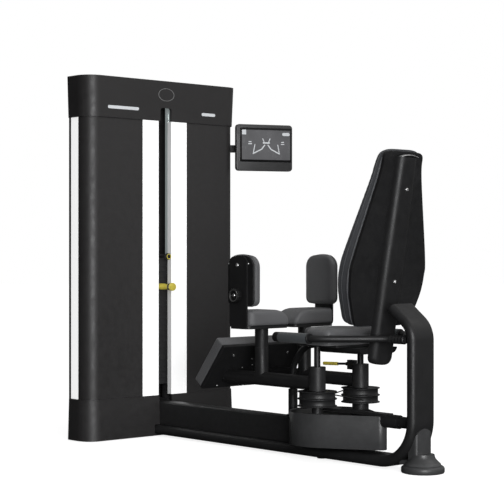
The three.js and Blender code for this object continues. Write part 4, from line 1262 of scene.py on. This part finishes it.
def build_spine():
    """The folded sheet behind the backrest, rounded along its two rear corners."""
    sheet, depth, turn = 4, 33, 28
    low, high, corner = -311, 446, 26
    levels = [low + step for step in (0, 0.7, 2, 4, 7, 11, 16, 21, 26)]
    levels += [low + corner + (high - low - corner) * i / 30 for i in range(1, 31)]
    rings = []
    for s in levels:
        half = 55 - 9 * max(s, 0) / high
        cut = max(1 - (s - low) / corner, 0)
        half -= (corner - 0.5) * (1 - math.sqrt(1 - cut * cut))
        outer = [(-half, depth)]
        inner = [(-half + sheet, depth)]
        for side in (-1, 1):
            for k in range(9):
                angle = math.pi / 2 * (k / 8 if side < 0 else 1 - k / 8)
                for points, radius in ((outer, turn), (inner, turn - sheet)):
                    y = side * (half - turn + radius * math.cos(angle))
                    points.append((y, turn - radius * math.sin(angle)))
        outer.append((half, depth))
        inner.append((half - sheet, depth))
        rings.append([back_place(s, y, d) for y, d in outer + inner[::-1]])
    bm = bmesh.new()
    loft(bm, rings)
    piece("spine", bm, COAT, "frame", ["spine_channel"])


def build_spine_lip():
    """The bright bent rim over the spine's top."""
    rings = []
    for i in range(25):
        y = -44 + 88 * i / 24
        rise = 7 * (1 - (y / 44) ** 2)
        rings.append([back_place(445 + rise + a, y, 2 + b) for a, b in rounded((0, 0), (3, 16), 1.2, 3)])
    bm = bmesh.new()
    loft(bm, rings)
    piece("spine_lip", bm, STEEL, "frame")


def build_wing_screws(side, name):
    wing, board = (outer_face(node + name, side) for node in ("pad_carrier_", "knee_pad_"))
    heads = [(Vector((at(731, 0, 0).x, wing + side * 0.0001, 0.729)), Y * side, 8)]
    heads += [(Vector((at(x, 0, 0).x, board, 0.735)), Y * side, 4.5) for x in (680, 788)]
    screws("wing_screws_" + name, name + "_pad_carrier", heads)


def build_seat_bolts():
    z = limits("seat_frame")[2][1] - 8
    heads = []
    for x in (965, 1010):
        for side in (-1, 1):
            heads += [(at(x, side * y, z), -Z, radius) for y, radius in ((80, 7), (120, 5))]
    screws("seat_bolts", "frame", heads)


build_selector()
build_stack_knob()
build_display()
build_header_inlays()
build_rear_screws()
build_spine()
screws("spine_screws", "frame", [(back_place(s, 0, -0.2), -BACK_OUT, 7) for s in (330, -4)])
build_spine_lip()
build_seat_bolts()
for side_sign, side_name in SIDES:
    build_wing_screws(side_sign, side_name)


# ---------------------------------------------------------------------- stage
def build_floor():
    bm = bmesh.new()
    loft(bm, [[Vector((x * 30, y * 30, z)) for x, y in circle(1, 64)] for z in (-0.05, -0.0005)])
    placed("floor", mesh_of("floor", bm, floor_paint()))


def floor_paint():
    """A pale floor that stays near white to the camera and throws little light back."""
    material, tree, shader, place = new_material("floor_paint")
    link = tree.links.new
    seen = tree.nodes.new("ShaderNodeLightPath").outputs["Is Camera Ray"]
    tone = new_node(tree, "ShaderNodeHueSaturation", Color=(0.6, 0.6, 0.6, 1))
    mottle = ranged(tree, noise_of(tree, place, 3, 3), 0.97, 1.03)
    link(product_of(tree, mottle, ranged(tree, seen, FLOOR_BOUNCE, 1, 0, 1)), tone.inputs["Value"])
    link(tone.outputs["Color"], shader.inputs["Base Color"])
    shader.inputs["Roughness"].default_value = 0.7
    shader.inputs["Specular IOR Level"].default_value = 0.05
    shader.inputs["Emission Color"].default_value = (1, 1, 1, 1)
    link(ranged(tree, seen, 0, FLOOR_GLOW, 0, 1), shader.inputs["Emission Strength"])
    return material


def area_light(name, place, target, size, power, color):
    data = bpy.data.lights.new(name, "AREA")
    data.size = size
    data.energy = power
    data.color = color
    light = placed(name, data)
    light.location = place
    light.rotation_euler = (target - place).to_track_quat("-Z", "Y").to_euler()


FLOOR_GLOW, FLOOR_BOUNCE = 0.85, 0.12
SKY_LOW, SKY_HIGH = 0.02, 0.50
SKY_TOWARDS = (0.55, 0.35, 0.76)
CAMERA_AT = at(5018, -3974, 779)
CAMERA_LOOK = Vector((-0.7467, 0.6652, 0))
SENSOR = 36
CAMERA_LENS = 1501 / 504 * SENSOR  # a focal length of 1501 in a picture 504 wide


def studio():
    """White to the camera; to everything else a soft sky, brightest towards SKY_TOWARDS."""
    world = bpy.data.worlds.new("studio")
    world.use_nodes = True
    tree = world.node_tree
    link = tree.links.new
    sky = tree.nodes["Background"]
    direction = tree.nodes.new("ShaderNodeTexCoord").outputs["Generated"]
    glow = ranged(tree, along_axis(tree, direction, SKY_TOWARDS), SKY_LOW, SKY_HIGH, -0.3, 0.95)
    seen = tree.nodes.new("ShaderNodeLightPath").outputs["Is Camera Ray"]
    strength = new_node(tree, "ShaderNodeMix")
    link(seen, strength.inputs["Factor"])
    link(glow, strength.inputs["A"])
    strength.inputs["B"].default_value = 1.0
    link(strength.outputs["Result"], sky.inputs["Strength"])
    sky.inputs["Color"].default_value = (1, 1, 1, 1)
    return world


def build_stage():
    scene = bpy.context.scene
    build_floor()
    scene.world = studio()
    area_light("key", at(2600, 1500, 3300), at(600, 0, 500), 2.2, 14, (1.0, 0.975, 0.96))
    area_light("front", at(4600, -2300, 1000), at(700, 0, 500), 2.0, 145, (0.985, 0.99, 1.0))
    camera = bpy.data.cameras.new("camera")
    camera.lens = CAMERA_LENS
    camera.sensor_width = SENSOR
    camera.clip_end = 100
    view = placed("camera", camera)
    view.location = CAMERA_AT
    view.rotation_euler = CAMERA_LOOK.to_track_quat("-Z", "Y").to_euler()
    scene.camera = view
    scene.view_settings.view_transform = "Standard"


build_stage()
